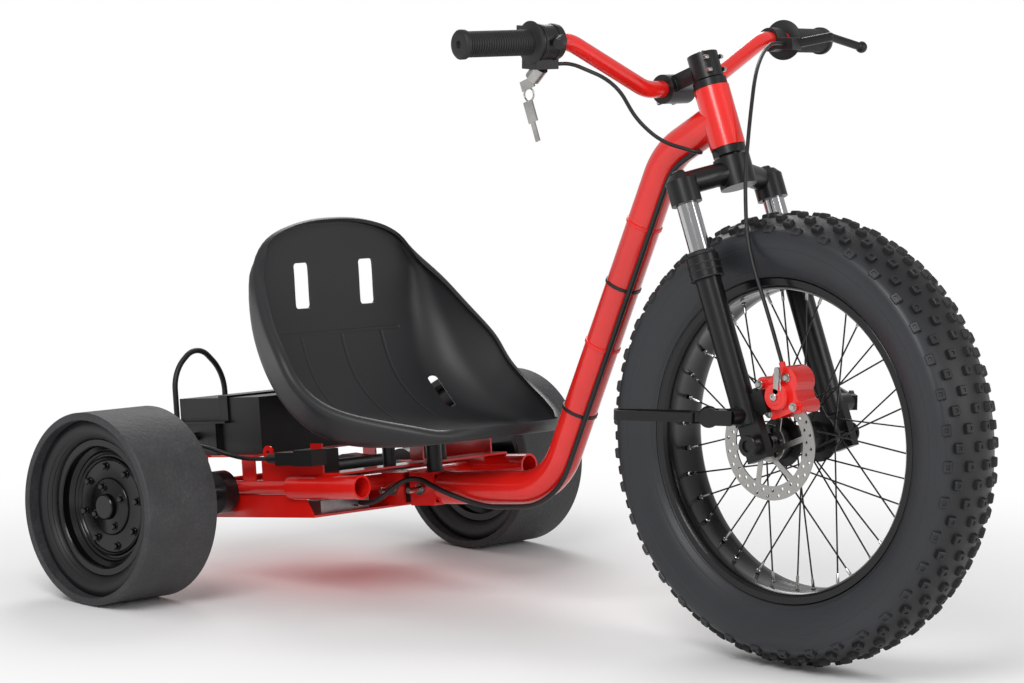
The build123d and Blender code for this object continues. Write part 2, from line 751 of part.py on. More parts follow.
switch_start = world(steer, (-72, -THROTTLE_Y, 138))
switch_end = world(steer, (-90, -THROTTLE_Y, 130))
with BuildPart() as key_switch:
    rod(switch_start, switch_end, 10)
    add(throttle_housing.part, mode=Mode.SUBTRACT)
keep(key_switch, "key_switch")

with BuildPart() as keys:
    with Locations(at(steer, (-101, -THROTTLE_Y, 126))):
        Box(22, 2.5, 13)
    with Locations(at(steer, (-103, -THROTTLE_Y, 113))):
        Torus(8, 1.2, rotation=LYING)
    with Locations(at(steer, (-108, -THROTTLE_Y, 92))):
        Box(15, 2.5, 28)
    with Locations(at(steer, (-109, -THROTTLE_Y, 66))):
        Box(7, 2, 26)
    add(key_switch.part, mode=Mode.SUBTRACT)
keep(keys, "keys")

# Brake lever and its perch on the left
with BuildPart() as lever_perch:
    with BuildSketch(bar_plane(PERCH_END, 1)):
        Circle(16)
        with Locations((20, -4)):
            Rectangle(34, 16)
        Circle(BAR_R, mode=Mode.SUBTRACT)
    extrude(amount=-(PERCH_END - PERCH_START))
keep(lever_perch, "lever_perch")

lever_route = [
    bar_plane(PERCH_START, 1).from_local_coords(Vector(30, -4, 4)),
    world(steer, (2, BAR_WIDE + 80, 148)),
    world(steer, (10, BAR_WIDE + 130, 130)),
]
with BuildPart() as brake_lever:
    rod(lever_route[0], lever_route[1], 6)
    rod(lever_route[1], lever_route[2], 5.5)
    with Locations(lever_route[1]):
        Sphere(6)
    with Locations(lever_route[2]):
        Sphere(8)
    add(lever_perch.part, mode=Mode.SUBTRACT)
keep(brake_lever, "brake_lever")

# Brake caliper ahead of the right leg, slotted for the rotor and hollowed round the hub
caliper_plane = at(steer, (CALIPER_AHEAD, -CALIPER_Y, CALIPER_UP), (90, 0, 0))
with BuildPart() as caliper:
    with BuildSketch(caliper_plane):
        RectangleRounded(54, 50, 12)
        with Locations((14, 14)):
            Circle(20)
        with Locations((-20, 22), (22, -20)):
            Circle(9)
    extrude(amount=CALIPER_WIDE / 2, both=True)
    with BuildSketch(caliper_plane.offset(CALIPER_WIDE / 2)):
        Circle(17)
        with Locations((-20, 22), (22, -20)):
            Circle(5)
    extrude(amount=6)
    with Locations(at(steer, (CALIPER_AHEAD + 12, CABLE_END_Y, CALIPER_UP + 36))):
        Cylinder(4, 8)
    with Locations(at(steer, (-AXLE_BEHIND_AXIS, -ROTOR_Y - ROTOR_THICK / 2, -FORK_DROP))):
        Cylinder(ROTOR_R + 5, ROTOR_THICK + 10, rotation=LYING, mode=Mode.SUBTRACT)
        Cylinder(HUB_FLANGE_R + 6, 2 * CALIPER_WIDE, rotation=LYING, mode=Mode.SUBTRACT)
keep(caliper, "caliper")


def peg_plane(side):
    """Hinge frame of a foot peg: its first axis runs out along the peg, its third straight up."""
    turn = radians(PEG_TURN)
    outwards = Vector(-sin(turn), side * cos(turn), 0)
    stub_y = PEG_PIVOT_Y - PEG_LINK * cos(turn)
    stub_end = world(steer, (LEG_FORWARD, side * stub_y, PEG_LEVEL))
    return Plane(origin=stub_end + outwards * PEG_LINK, x_dir=outwards, z_dir=(0, 0, 1))


with BuildPart() as peg_mounts:
    for side in (-1, 1):
        hinge = peg_plane(side)
        leg_point = world(steer, (LEG_FORWARD, side * LEG_Y, PEG_LEVEL))
        stub_end = hinge.from_local_coords(Vector(-PEG_LINK, 0, 0))
        rod(leg_point, stub_end, 11)
        with Locations(at(hinge, (-PEG_LINK + 4, 0, 0))):
            Box(16, 2 * (PEG_BARREL_HALF + SEAT_GAP + 4.5), 19)
        for arm in (-1, 1):
            cheek = arm * (PEG_BARREL_HALF + SEAT_GAP + 2.25)
            with Locations(at(hinge, (-11, cheek, 0))):
                Box(22, 4.5, 19)
            with Locations(at(hinge, (0, cheek, 0))):
                Cylinder(PEG_CLEVIS_R, 4.5, rotation=LYING)
        with Locations(at(hinge, (0, 0, 0))):
            Cylinder(PEG_PIN_R, 2 * (PEG_BARREL_HALF + SEAT_GAP + 2.25), rotation=LYING)
        with Locations(at(steer, (LEG_FORWARD, side * LEG_Y, PEG_LEVEL))):
            Cylinder(LEG_R + SEAT_GAP, 3 * COLLAR_LENGTH, mode=Mode.SUBTRACT)
keep(peg_mounts, "peg_mounts")

loop_length = PEG_LENGTH - PEG_LOOP_START
for peg_name, side in (("peg_right", -1), ("peg_left", 1)):
    hinge = peg_plane(side)
    with BuildPart() as peg:
        with Locations(at(hinge, (0, 0, 0))):
            Cylinder(PEG_BARREL_R, 2 * PEG_BARREL_HALF, rotation=LYING)
        with Locations(at(hinge, (PEG_LOOP_START / 2 + 2, 0, 0))):
            Box(PEG_LOOP_START + 4, 2 * PEG_BARREL_HALF, PEG_HEIGHT)
        with BuildSketch(at(hinge, (0, 0, -PEG_HEIGHT / 2))):
            with Locations(((PEG_LOOP_START + PEG_LENGTH) / 2, 0)):
                RectangleRounded(loop_length, PEG_WIDTH, 8)
                RectangleRounded(loop_length - 2 * PEG_WALL, PEG_WIDTH - 2 * PEG_WALL, 4, mode=Mode.SUBTRACT)
        extrude(amount=PEG_HEIGHT)
        with Locations(at(hinge, (0, 0, 0))):
            Cylinder(PEG_PIN_R + RUN_CLEAR, 2 * PEG_BARREL_HALF, rotation=LYING, mode=Mode.SUBTRACT)
    keep(peg, peg_name)

# Rear wheels on one live axle: rims keyed to the shaft, tyres, and hard slick sleeves over the tyres
axle_point = chassis.origin
with BuildPart() as rear_shaft:
    with Locations(axle_point):
        Cylinder(SHAFT_R, 2 * SHAFT_HALF, rotation=LYING)
keep(rear_shaft, "rear_shaft")

rim_profile = [
    # across, out
    (-34, 93),
    (-31, 93),
    (-31, 86),
    (-20, 86),
    (-15, 80),
    (15, 80),
    (20, 86),
    (31, 86),
    (31, 93),
    (34, 93),
    (34, 82.5),
    (21.5, 82.5),
    (16.5, 76.5),
    (-16.5, 76.5),
    (-21.5, 82.5),
    (-34, 82.5),
]
disc_profile = [
    (12, 78),
    (16, 78),
    (16, 38),
    (20, 38),
    (20, 22),
    (34, 22),
    (34, 0),
    (26, 0),
    (26, 10),
    (-24, 10),
    (-24, 21),
    (12, 21),
]
rear_tyre_profile = [
    (0, 120.2),
    (44, 120.2),
    (48, 116),
    (48, 104),
    (38, 94),
    (30.7, 93.5),
    (30.7, 86.3),
    (24, 86.3),
    (24, 97),
    (36, 99),
    (43, 106),
    (43, 113),
    (41, 115.2),
    (0, 115.2),
]

with BuildPart() as rear_rims:
    for side in (-1, 1):
        centre = axle_point + Vector(0, side * WHEEL_CENTRE_Y, 0)
        with BuildSketch(wheel_plane(centre)):
            for profile in (rim_profile, disc_profile):
                with BuildLine():
                    Polyline(*[(side * across, out) for across, out in profile], close=True)
                make_face()
        revolve(axis=Axis(centre, (0, 1, 0)))
keep(rear_rims, "rear_rims")

with BuildPart() as rear_tyres:
    for side in (-1, 1):
        centre = axle_point + Vector(0, side * WHEEL_CENTRE_Y, 0)
        with BuildSketch(wheel_plane(centre)):
            with BuildLine():
                Polyline(*rear_tyre_profile, close=True)
            make_face()
            mirror(about=Plane.YZ)
        revolve(axis=Axis(centre, (0, 1, 0)))
keep(rear_tyres, "rear_tyres")

with BuildPart() as rear_sleeves:
    for side in (-1, 1):
        centre = axle_point + Vector(0, side * WHEEL_CENTRE_Y, 0)
        with Locations(centre):
            Cylinder(REAR_RADIUS, SLEEVE_WIDTH, rotation=LYING)
            Cylinder(REAR_RADIUS - SLEEVE_WALL, SLEEVE_WIDTH, rotation=LYING, mode=Mode.SUBTRACT)
keep(rear_sleeves, "rear_sleeves")

# Front wheel: a fat tyre whose carcass carries staggered square lugs
crown_r = FRONT_RADIUS - LUG_HEIGHT
lug_rows = [
    # across, carcass radius there, tilt outwards, width, length, turned by this share of a lug's pitch
    (9, crown_r - 0.5, 7, 12, 15, 0),
    (-9, crown_r - 0.5, -7, 12, 15, 0.5),
    (29, crown_r - 5.5, 22, 11, 13, 0.5),
    (-29, crown_r - 5.5, -22, 11, 13, 0),
    (44.5, crown_r - 17, 48, 10, 15, 0),
    (-44.5, crown_r - 17, -48, 10, 15, 0.5),
]
middle_drop, middle_tilt, middle_width = 0.5, radians(7), 12
lug_rise = (LUG_HEIGHT + middle_drop - middle_width / 2 * sin(middle_tilt)) / cos(middle_tilt)


def wheel_location(angle, across, radius, tilt):
    """Place on the front wheel: its third axis points out of the tyre, tilted sideways."""
    turn = radians(angle)
    lean = radians(tilt)
    outward = Vector(cos(turn), 0, sin(turn))
    across_way = Vector(0, cos(lean), 0) - outward * sin(lean)
    out_way = Vector(0, sin(lean), 0) + outward * cos(lean)
    origin = front_axle_point + outward * radius + Vector(0, across, 0)
    return Location(Plane(origin=origin, x_dir=across_way, z_dir=out_way))


with BuildPart() as front_tyre:
    with BuildSketch(wheel_plane(front_axle_point)):
        with BuildLine():
            Polyline((28, 198.3), (34.2, 198.3), (34.2, 207))
            ThreePointArc((34.2, 207), (49.5, 228), (TYRE_HALF, 252))
            ThreePointArc((TYRE_HALF, 252), (51, 263.5), (42, crown_r - 14))
            ThreePointArc((42, crown_r - 14), (21.5, crown_r - 3.5), (0, crown_r))
            Line((0, crown_r), (0, crown_r - TYRE_WALL))
            ThreePointArc((0, crown_r - TYRE_WALL), (20, crown_r - 8.4), (38.5, crown_r - 17.5))
            ThreePointArc((38.5, crown_r - 17.5), (46, 260), (TYRE_HALF - TYRE_WALL, 252))
            ThreePointArc((TYRE_HALF - TYRE_WALL, 252), (44, 229), (28, 208))
            Line((28, 208), (28, 198.3))
        make_face()
        mirror(about=Plane.YZ)
    revolve(axis=Axis(front_axle_point, (0, 1, 0)))
    for across, radius, tilt, width, length, share in lug_rows:
        step = 360 / LUG_COUNT
        angles = [(number + share) * step for number in range(LUG_COUNT)]
        places = [wheel_location(angle, across, radius, tilt) for angle in angles]
        with Locations(*[place * Location((0, 0, (lug_rise - LUG_DEPTH) / 2)) for place in places]):
            Box(width, length, lug_rise + LUG_DEPTH)
keep(front_tyre, "front_tyre")

front_rim_profile = [
    (-RIM_HALF, RIM_OUTER_R),
    (-RIM_HALF + RIM_LIP, RIM_OUTER_R),
    (-RIM_HALF + RIM_LIP, RIM_BED_R),
    (RIM_HALF - RIM_LIP, RIM_BED_R),
    (RIM_HALF - RIM_LIP, RIM_OUTER_R),
    (RIM_HALF, RIM_OUTER_R),
    (RIM_HALF, RIM_INNER_R + 5),
    (RIM_HALF - 8, RIM_INNER_R),
    (-RIM_HALF + 8, RIM_INNER_R),
    (-RIM_HALF, RIM_INNER_R + 5),
]
with BuildPart() as front_rim:
    with BuildSketch(wheel_plane(front_axle_point)):
        with BuildLine():
            Polyline(*front_rim_profile, close=True)
        make_face()
    revolve(axis=Axis(front_axle_point, (0, 1, 0)))
keep(front_rim, "front_rim")


def wheel_point(angle, radius, across):
    """A point of the front wheel, by its angle up from the front."""
    turn = radians(angle)
    return front_axle_point + Vector(radius * cos(turn), across, radius * sin(turn))


with BuildPart() as front_hub:
    with Locations(front_axle_point):
        Cylinder(HUB_R, 2 * HUB_HALF - 14, rotation=LYING)
        Cylinder(HUB_CAP_R, 2 * HUB_HALF, rotation=LYING)
    for side in (-1, 1):
        with Locations(front_axle_point + Vector(0, side * HUB_FLANGE_Y, 0)):
            Cylinder(HUB_FLANGE_R, HUB_FLANGE_THICK, rotation=LYING)
    with Locations(front_axle_point + Vector(0, -(HUB_FLANGE_Y + ROTOR_Y) / 2, 0)):
        Cylinder(DISC_BOSS_R, ROTOR_Y - HUB_FLANGE_Y, rotation=LYING)
    spoke_step = 180 / SPOKES_PER_SIDE
    for number in range(2 * SPOKES_PER_SIDE):
        side = 1 if number % 2 else -1
        lean = 1 if number % 4 < 2 else -1
        rim_angle = number * spoke_step
        head = wheel_point(rim_angle + lean * SPOKE_CROSS, HUB_FLANGE_R - 4, side * (HUB_FLANGE_Y + lean))
        tip = wheel_point(rim_angle, RIM_INNER_R - SEAT_GAP, side * 4)
        rod(head, tip, SPOKE_R)
    with Locations(front_axle_point):
        Cylinder(AXLE_R + RUN_CLEAR, 2 * HUB_HALF, rotation=LYING, mode=Mode.SUBTRACT)
keep(front_hub, "front_hub")

rotor_face = front_axle_point + Vector(0, -ROTOR_Y, 0)
with BuildPart() as front_rotor:
    with BuildSketch(Plane(origin=rotor_face, x_dir=(1, 0, 0), z_dir=(0, -1, 0))):
        Circle(ROTOR_R)
        Circle(ROTOR_INNER_R, mode=Mode.SUBTRACT)
        for number in range(ROTOR_ARMS):
            with Locations(Location((0, 0, 0), (0, 0, number * 360 / ROTOR_ARMS))):
                with Locations(Location((ROTOR_INNER_R / 2 + 9, 4, 0), (0, 0, 24))):
                    Rectangle(ROTOR_INNER_R - 6, 7)
        Circle(ROTOR_BOSS_R)
        with PolarLocations((ROTOR_R + ROTOR_INNER_R) / 2 + 3.5, ROTOR_VENTS):
            Circle(ROTOR_VENT_R, mode=Mode.SUBTRACT)
        half_step = 180 / ROTOR_VENTS
        with PolarLocations((ROTOR_R + ROTOR_INNER_R) / 2 - 3.5, ROTOR_VENTS, start_angle=half_step):
            Circle(ROTOR_VENT_R, mode=Mode.SUBTRACT)
        Circle(HUB_CAP_R, mode=Mode.SUBTRACT)
    extrude(amount=ROTOR_THICK)
keep(front_rotor, "front_rotor")

# Cords: the battery's own lead, the charging lead, the wiring loom along the main tube, and two control cables
lead_s = BATTERY_BACK - GLAND_SIZE / 2
battery_lead_points = [
    world(chassis, (lead_s, LEAD_GLANDS[0], LEAD_BASE)),
    world(chassis, (lead_s, LEAD_GLANDS[0], LEAD_TOP - 12)),
    world(chassis, (lead_s, (LEAD_GLANDS[0] + LEAD_GLANDS[1]) / 2, LEAD_TOP + 24)),
    world(chassis, (lead_s, LEAD_GLANDS[1], LEAD_TOP - 20)),
    world(chassis, (lead_s, LEAD_GLANDS[1], LEAD_BASE)),
]
battery_lead = cord(battery_lead_points, LEAD_R)
keep(battery_lead, "battery_lead")

charge_points = [
    world(chassis, (106, CHARGE_LEFT, CHARGE_RISE)),
    world(chassis, (50, CHARGE_LEFT, CHARGE_RISE)),
    world(chassis, (4, CHARGE_LEFT - 26, 66)),
    world(chassis, (CHARGE_GLAND, CHARGE_LEFT - 26, CHARGE_GLAND_RISE)),
    world(chassis, (CHARGE_GLAND, -BATTERY_HALF - 8, CHARGE_GLAND_RISE)),
]
charge_lead = cord(charge_points, CHARGE_R)
keep(charge_lead, "charge_lead")


def below(way):
    """Square to a tube's way forward, on its lower side."""
    return Vector(way.Z, 0, -way.X)


def corner_below(corner, way_in, way_out):
    """The corner of a line that runs below a bent tube's centre line."""
    both = below(way_in) + below(way_out)
    return corner + both * (LOOM_BELOW / (1 + below(way_in).dot(below(way_out)))) + Vector(0, LOOM_LEFT, 0)


way_rear = (elbow - tube_rear).normalized()
way_main = (neck - elbow).normalized()
way_neck = (neck_end - neck).normalized()
loom_start = neck + way_neck * 56 + below(way_neck) * LOOM_BELOW + Vector(0, LOOM_LEFT, 0)
main_middle = (neck + elbow) * 0.5 + below(way_main) * (LOOM_BELOW + 4) + Vector(0, LOOM_LEFT, 0)
loom_points = [
    loom_start,
    corner_below(neck, way_main, way_neck),
    corner_below(elbow, way_rear, way_main),
    world(chassis, (350, LOOM_LEFT - 2, -BEAM_DROP - LOOM_BELOW - 2)),
    world(chassis, (290, -38, -12)),
    world(chassis, (236, -39, 12)),
    world(chassis, (198, LOOM_LEFT_END, LOOM_RISE_END)),
    world(chassis, (168, LOOM_LEFT_END, LOOM_RISE_END)),
]
loom = cord(loom_points, LOOM_R)
keep(loom, "loom")

brake_points = [
    bar_plane(PERCH_END, 1).from_local_coords(Vector(24, -4, 0)),
    bar_plane(PERCH_END, 1).from_local_coords(Vector(24, -4, 34)),
    world(steer, (4, 120, 128)),
    world(steer, (32, 56, 90)),
    world(steer, (40, 6, 20)),
    world(steer, (38, -30, -50)),
    world(steer, (38, -64, -140)),
    world(steer, (CALIPER_AHEAD + 12, CABLE_END_Y, -240)),
    world(steer, (CALIPER_AHEAD + 12, CABLE_END_Y, CALIPER_UP + 40)),
]
brake_cable = cord(brake_points, CABLE_R)
keep(brake_cable, "brake_cable")

throttle_points = [
    bar_plane(THROTTLE_END, -1).from_local_coords(Vector(-4, -28, 0)),
    bar_plane(THROTTLE_END, -1).from_local_coords(Vector(-4, -28, -26)),
    world(steer, (-24, -152, 100)),
    world(steer, (-40, -112, 54)),
    world(steer, (-34, -84, 22)),
    world(steer, (-10, -40, -4)),
    loom_start + way_neck * 3,
]
throttle_cable = cord(throttle_points, CABLE_R)
keep(throttle_cable, "throttle_cable")
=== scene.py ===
import json
import math

import bmesh
import bpy
import numpy as np
from mathutils import Matrix


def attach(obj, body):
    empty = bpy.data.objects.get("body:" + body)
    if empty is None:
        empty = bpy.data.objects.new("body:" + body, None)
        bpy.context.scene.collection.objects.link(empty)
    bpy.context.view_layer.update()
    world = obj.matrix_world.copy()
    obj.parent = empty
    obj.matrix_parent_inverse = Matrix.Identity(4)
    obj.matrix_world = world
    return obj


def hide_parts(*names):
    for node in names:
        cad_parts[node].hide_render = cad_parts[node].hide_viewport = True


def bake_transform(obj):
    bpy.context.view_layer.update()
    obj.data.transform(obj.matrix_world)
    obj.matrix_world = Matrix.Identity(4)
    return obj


bl_info = {
    "name": "Electric drift trike",
    "version": (1, 0, 0),
    "blender": (4, 5, 0),
    "location": "3D View > Sidebar > Trike",
    "description": "Dresses an electric drift trike with its tyres, controls, fasteners and finishes",
    "category": "Object",
}

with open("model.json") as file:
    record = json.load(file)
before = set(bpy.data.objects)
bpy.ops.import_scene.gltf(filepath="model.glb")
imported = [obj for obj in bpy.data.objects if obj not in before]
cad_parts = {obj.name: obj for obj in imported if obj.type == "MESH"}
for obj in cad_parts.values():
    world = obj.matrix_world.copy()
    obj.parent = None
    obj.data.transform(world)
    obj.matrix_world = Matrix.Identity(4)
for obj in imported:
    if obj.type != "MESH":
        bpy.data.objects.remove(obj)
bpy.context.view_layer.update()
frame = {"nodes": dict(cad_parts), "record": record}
NODES = frame["nodes"]

FRONT_AXLE = np.array((0.3705, 0.0, 0.290))
REAR_AXLE = np.array((-0.5155, 0.0, 0.131))
HEAD_BASE = np.array((0.238332, 0.0, 0.650893))
LEFT = np.array((0.0, 1.0, 0.0))
UP = np.array((0.0, 0.0, 1.0))
STEER_AHEAD = np.array((0.92388, 0.0, 0.382683))
STEER_UP = np.array((-0.382683, 0.0, 0.92388))
CHASSIS_AHEAD = np.array((0.992546, 0.0, 0.121869))
CHASSIS_UP = np.array((-0.121869, 0.0, 0.992546))


def steer(ahead, left, up):
    """A point in the steering frame, in millimetres along the fork's own forward, left and up, as metres."""
    return HEAD_BASE + (np.asarray(ahead)[..., None] * STEER_AHEAD + np.asarray(left)[..., None] * LEFT
                        + np.asarray(up)[..., None] * STEER_UP) / 1000


def chassis(ahead, left, up):
    """A point in the rear frame, in millimetres from the middle of the rear axle, as metres."""
    return REAR_AXLE + (np.asarray(ahead)[..., None] * CHASSIS_AHEAD + np.asarray(left)[..., None] * LEFT
                        + np.asarray(up)[..., None] * CHASSIS_UP) / 1000


def unit(way):
    """The same direction, one long."""
    way = np.asarray(way, float)
    return way / np.linalg.norm(way, axis=-1, keepdims=True)


def across(way):
    """Two directions square to this one and to each other."""
    way = unit(way)
    rest = np.eye(3)[np.argmin(np.abs(way))]
    first = unit(np.cross(way, rest))
    return first, np.cross(way, first)


# Shapes: each is a pair of points and faces


def grid(points, wrap_rows, wrap_columns):
    """Quads over a grid of points, joined round where it wraps."""
    rows, columns = points.shape[:2]
    row = np.arange(rows if wrap_rows else rows - 1)[:, None]
    column = np.arange(columns if wrap_columns else columns - 1)[None, :]
    next_row = (row + 1) % rows
    next_column = (column + 1) % columns
    faces = np.stack([
        row * columns + column,
        next_row * columns + column,
        next_row * columns + next_column,
        row * columns + next_column,
    ], -1)
    return points.reshape(-1, 3), faces.reshape(-1, 4).tolist()


def turned(profile, centre, axis, steps=96):
    """A profile of (along, out) in millimetres, turned about an axis:
    centre + along x axis + out x (cos a x side + sin a x other)."""
    profile = np.asarray(profile, float) / 1000
    axis = unit(axis)
    side, other = across(axis)
    angle = np.linspace(0, 2 * np.pi, steps, endpoint=False)[:, None]
    around = np.cos(angle) * side + np.sin(angle) * other
    points = centre + profile[None, :, :1] * axis + profile[None, :, 1:] * around[:, None, :]
    closed = profile[0, 1] > 1e-9 or profile[-1, 1] > 1e-9
    return grid(points, True, closed)


def rounded_bar(start, end, radius, edge=0.6, steps=24):
    """A round bar with chamfered ends: its profile turned about the line from start to end."""
    way = np.asarray(end) - np.asarray(start)
    length = np.linalg.norm(way) * 1000
    edge = min(edge, radius * 0.8, length / 2)
    profile = [
        (0, 0), (0, radius - edge), (edge, radius),
        (length - edge, radius), (length, radius - edge), (length, 0),
    ]
    return turned(profile, start, way, steps)


def carried(path, radius, steps=16):
    """Rings carried along a path: point i + radius x (cos a x side + sin a x other), with flat ends."""
    path = np.asarray(path, float)
    way = unit(np.gradient(path, axis=0))
    rest = np.eye(3)[np.argmin(np.abs(way).max(0))]
    side = unit(np.cross(way, rest))
    other = np.cross(way, side)
    angle = np.linspace(0, 2 * np.pi, steps, endpoint=False)
    radius = np.broadcast_to(np.asarray(radius, float) / 1000, len(path))[:, None, None]
    rings = (path[:, None] + radius * (np.cos(angle)[None, :, None] * side[:, None]
                                       + np.sin(angle)[None, :, None] * other[:, None]))
    points, faces = grid(rings, False, True)
    last = len(points) - steps
    return points, faces + [list(range(steps)), list(range(last, last + steps))]


def slab(outline, origin, right, top, thick):
    """A flat outline in millimetres, carried square to itself by its thickness."""
    outline = np.asarray(outline, float) / 1000
    right, top = unit(right), unit(top)
    face = np.asarray(origin) + outline[:, :1] * right + outline[:, 1:] * top
    rings = np.stack([face, face + np.cross(right, top) * thick / 1000])
    points, faces = grid(rings, False, True)
    count = len(outline)
    return points, faces + [list(range(count)), list(range(count, 2 * count))]


def rounded_outline(width, height, corner, steps=5):
    """A rectangle's outline with a quarter circle at each corner."""
    quarter = np.linspace(0, np.pi / 2, steps)
    corners = ((1, 1, 0), (-1, 1, 1), (-1, -1, 2), (1, -1, 3))
    return np.concatenate([
        np.stack([sx * (width / 2 - corner) + corner * np.cos(quarter + turn * np.pi / 2),
                  sy * (height / 2 - corner) + corner * np.sin(quarter + turn * np.pi / 2)], -1)
        for sx, sy, turn in corners
    ])


def washer_under(place, way, radius):
    """A washer's shape in a list, or none, and the place of the head that stands on it."""
    place = np.asarray(place, float)
    if not radius:
        return [], place
    profile = [(0, 0), (0, radius - 0.3), (0.4, radius), (1.0, radius), (1.3, radius - 0.3), (1.3, 0)]
    return [turned(profile, place, way, 24)], place + unit(way) * 0.0013


def hex_bolt(place, way, radius, height, washer=0.0):
    """A six-sided head with a chamfered top, on its washer if it has one."""
    way = unit(way)
    shapes, place = washer_under(place, way, washer)
    shapes.append(turned([(0, 0), (0, radius), (height * 0.75, radius), (height, radius * 0.8), (height, 0)],
                         place, way, 6))
    return shapes


def cap_bolt(place, way, radius, height, washer=0.0):
    """A round head with a hollow drive in its top."""
    way = unit(way)
    shapes, place = washer_under(place, way, washer)
    shapes.append(turned([
        (0, 0), (0, radius), (height * 0.8, radius), (height, radius * 0.86), (height, radius * 0.55),
        (height * 0.45, radius * 0.5), (height * 0.45, 0),
    ], place, way, 24))
    return shapes


# Materials: shader sums are written as sums of sockets


class Flow:
    """A socket that can be added, taken away and multiplied, each by one Math node."""

    def __init__(self, graph, socket):
        self.graph = graph
        self.socket = socket

    def maths(self, operation, *values):
        return self.graph.flow("ShaderNodeMath", {"operation": operation}, dict(enumerate(values)))

    def __add__(self, other):
        return self.maths("ADD", self, other)

    def __radd__(self, other):
        return self.maths("ADD", other, self)

    def __sub__(self, other):
        return self.maths("SUBTRACT", self, other)

    def __rsub__(self, other):
        return self.maths("SUBTRACT", other, self)

    def __mul__(self, other):
        return self.maths("MULTIPLY", self, other)

    def __rmul__(self, other):
        return self.maths("MULTIPLY", other, self)

    def power(self, other):
        return self.maths("POWER", self, other)

    def sine(self):
        return self.maths("SINE", self)

    def absolute(self):
        return self.maths("ABSOLUTE", self)

    def at_most(self, other):
        return self.maths("MINIMUM", self, other)

    def step(self, low, high):
        """0 below low, 1 above high, and a smooth rise between them."""
        return self.graph.flow("ShaderNodeMapRange", {"interpolation_type": "SMOOTHSTEP"},
                               {"Value": self, "From Min": low, "From Max": high})


class Graph:
    """A material's nodes."""

    def __init__(self, name):
        self.material = bpy.data.materials.new(name)
        self.material.use_nodes = True
        self.tree = self.material.node_tree
        self.shader = self.tree.nodes["Principled BSDF"]

    def node(self, kind, settings=None, values=None):
        """A node of this kind, with its settings made first, then its sockets' values or links."""
        node = self.tree.nodes.new(kind)
        for name, value in (settings or {}).items():
            setattr(node, name, value)
        for name, value in (values or {}).items():
            self.feed(node.inputs[name], value)
        return node

    def flow(self, kind, settings=None, values=None, output=0):
        """The named or numbered output of a new node, ready for sums."""
        return Flow(self, self.node(kind, settings, values).outputs[output])

    def feed(self, socket, value):
        """Link a flow to a socket, or set the socket's own value."""
        if isinstance(value, Flow):
            self.tree.links.new(value.socket, socket)
        elif hasattr(value, "__len__") and len(value) == 3 and len(socket.default_value) == 4:
            socket.default_value = (*value, 1)
        else:
            socket.default_value = value

    def place(self, centre=(0, 0, 0)):
        """Object coordinates measured from a point of the object."""
        position = self.flow("ShaderNodeTexCoord", output="Object")
        return self.flow("ShaderNodeMapping", {"vector_type": "POINT"},
                         {"Vector": position, "Location": tuple(-float(c) for c in centre)})

    def noise(self, scale, detail=3.0, roughness=0.55, stretch=(1, 1, 1)):
        """Cloudy noise on Object coordinates, about 0.5 in the middle."""
        position = self.place()
        if stretch != (1, 1, 1):
            position = self.flow("ShaderNodeVectorMath", {"operation": "MULTIPLY"}, {0: position, 1: stretch})
        return self.flow("ShaderNodeTexNoise", None,
                         {"Vector": position, "Scale": scale, "Detail": detail, "Roughness": roughness})

    def cells(self, scale, feature="F1"):
        """Distance to scattered points, or to the borders between them, on Object coordinates."""
        return self.flow("ShaderNodeTexVoronoi", {"feature": feature},
                         {"Vector": self.place(), "Scale": scale}, "Distance")

    def parts(self, centre):
        """The three coordinates measured from a point."""
        node = self.node("ShaderNodeSeparateXYZ", None, {"Vector": self.place(centre)})
        return [Flow(self, socket) for socket in node.outputs]

    def blend(self, share, first, second):
        """A colour between two others."""
        return self.flow("ShaderNodeMix", {"data_type": "RGBA"}, {"Factor": share, 6: first, 7: second}, 2)

    def set(self, **values):
        """Feed the shader's sockets, whose names are given with underscores for spaces."""
        for name, value in values.items():
            self.feed(self.shader.inputs[name.replace("_", " ")], value)

    def bump(self, height, depth, strength=1.0):
        """Raise the surface by a height of 0 to 1 times a depth in metres."""
        node = self.flow("ShaderNodeBump", None, {"Height": height, "Distance": depth, "Strength": strength})
        self.feed(self.shader.inputs["Normal"], node)


def gloss_paint(name, colour, roughness=0.24):
    """Powder coat with a clear top: a faint orange peel and slight changes of gloss."""
    g = Graph(name)
    cloud = g.noise(9, 4)
    peel = g.noise(420, 2)
    dark = tuple(c * 0.86 for c in colour)
    g.set(Base_Color=g.blend(cloud.step(0.3, 0.7), dark, colour), Roughness=roughness + (cloud - 0.5) * 0.14,
          Coat_Weight=0.55, Coat_Roughness=0.09, Specular_IOR_Level=0.5)
    g.bump(peel, 0.00012, 0.25)
    return g.material


def satin_coat(name, colour, roughness=0.36):
    """Satin powder coat with a fine grain and rubbed, slightly paler spots."""
    g = Graph(name)
    cloud = g.noise(14, 4)
    grain = g.noise(900, 2)
    pale = tuple(c * 1.6 + 0.001 for c in colour)
    g.set(Base_Color=g.blend(cloud.step(0.42, 0.8), colour, pale), Roughness=roughness + (cloud - 0.5) * 0.16,
          Specular_IOR_Level=0.32, Coat_Weight=0.15, Coat_Roughness=0.16)
    g.bump(grain, 0.00010, 0.35)
    return g.material


def moulded_plastic(name, colour, roughness=0.5, grain_scale=620, depth=0.00018):
    """Moulded plastic: a stipple of small cells, with flatter and duller areas."""
    g = Graph(name)
    cloud = g.noise(7, 3)
    stipple = g.cells(grain_scale)
    pale = tuple(c * 1.35 + 0.003 for c in colour)
    g.set(Base_Color=g.blend(cloud.step(0.35, 0.75), colour, pale), Roughness=roughness + (cloud - 0.5) * 0.16)
    g.bump(stipple, depth, 0.4)
    return g.material


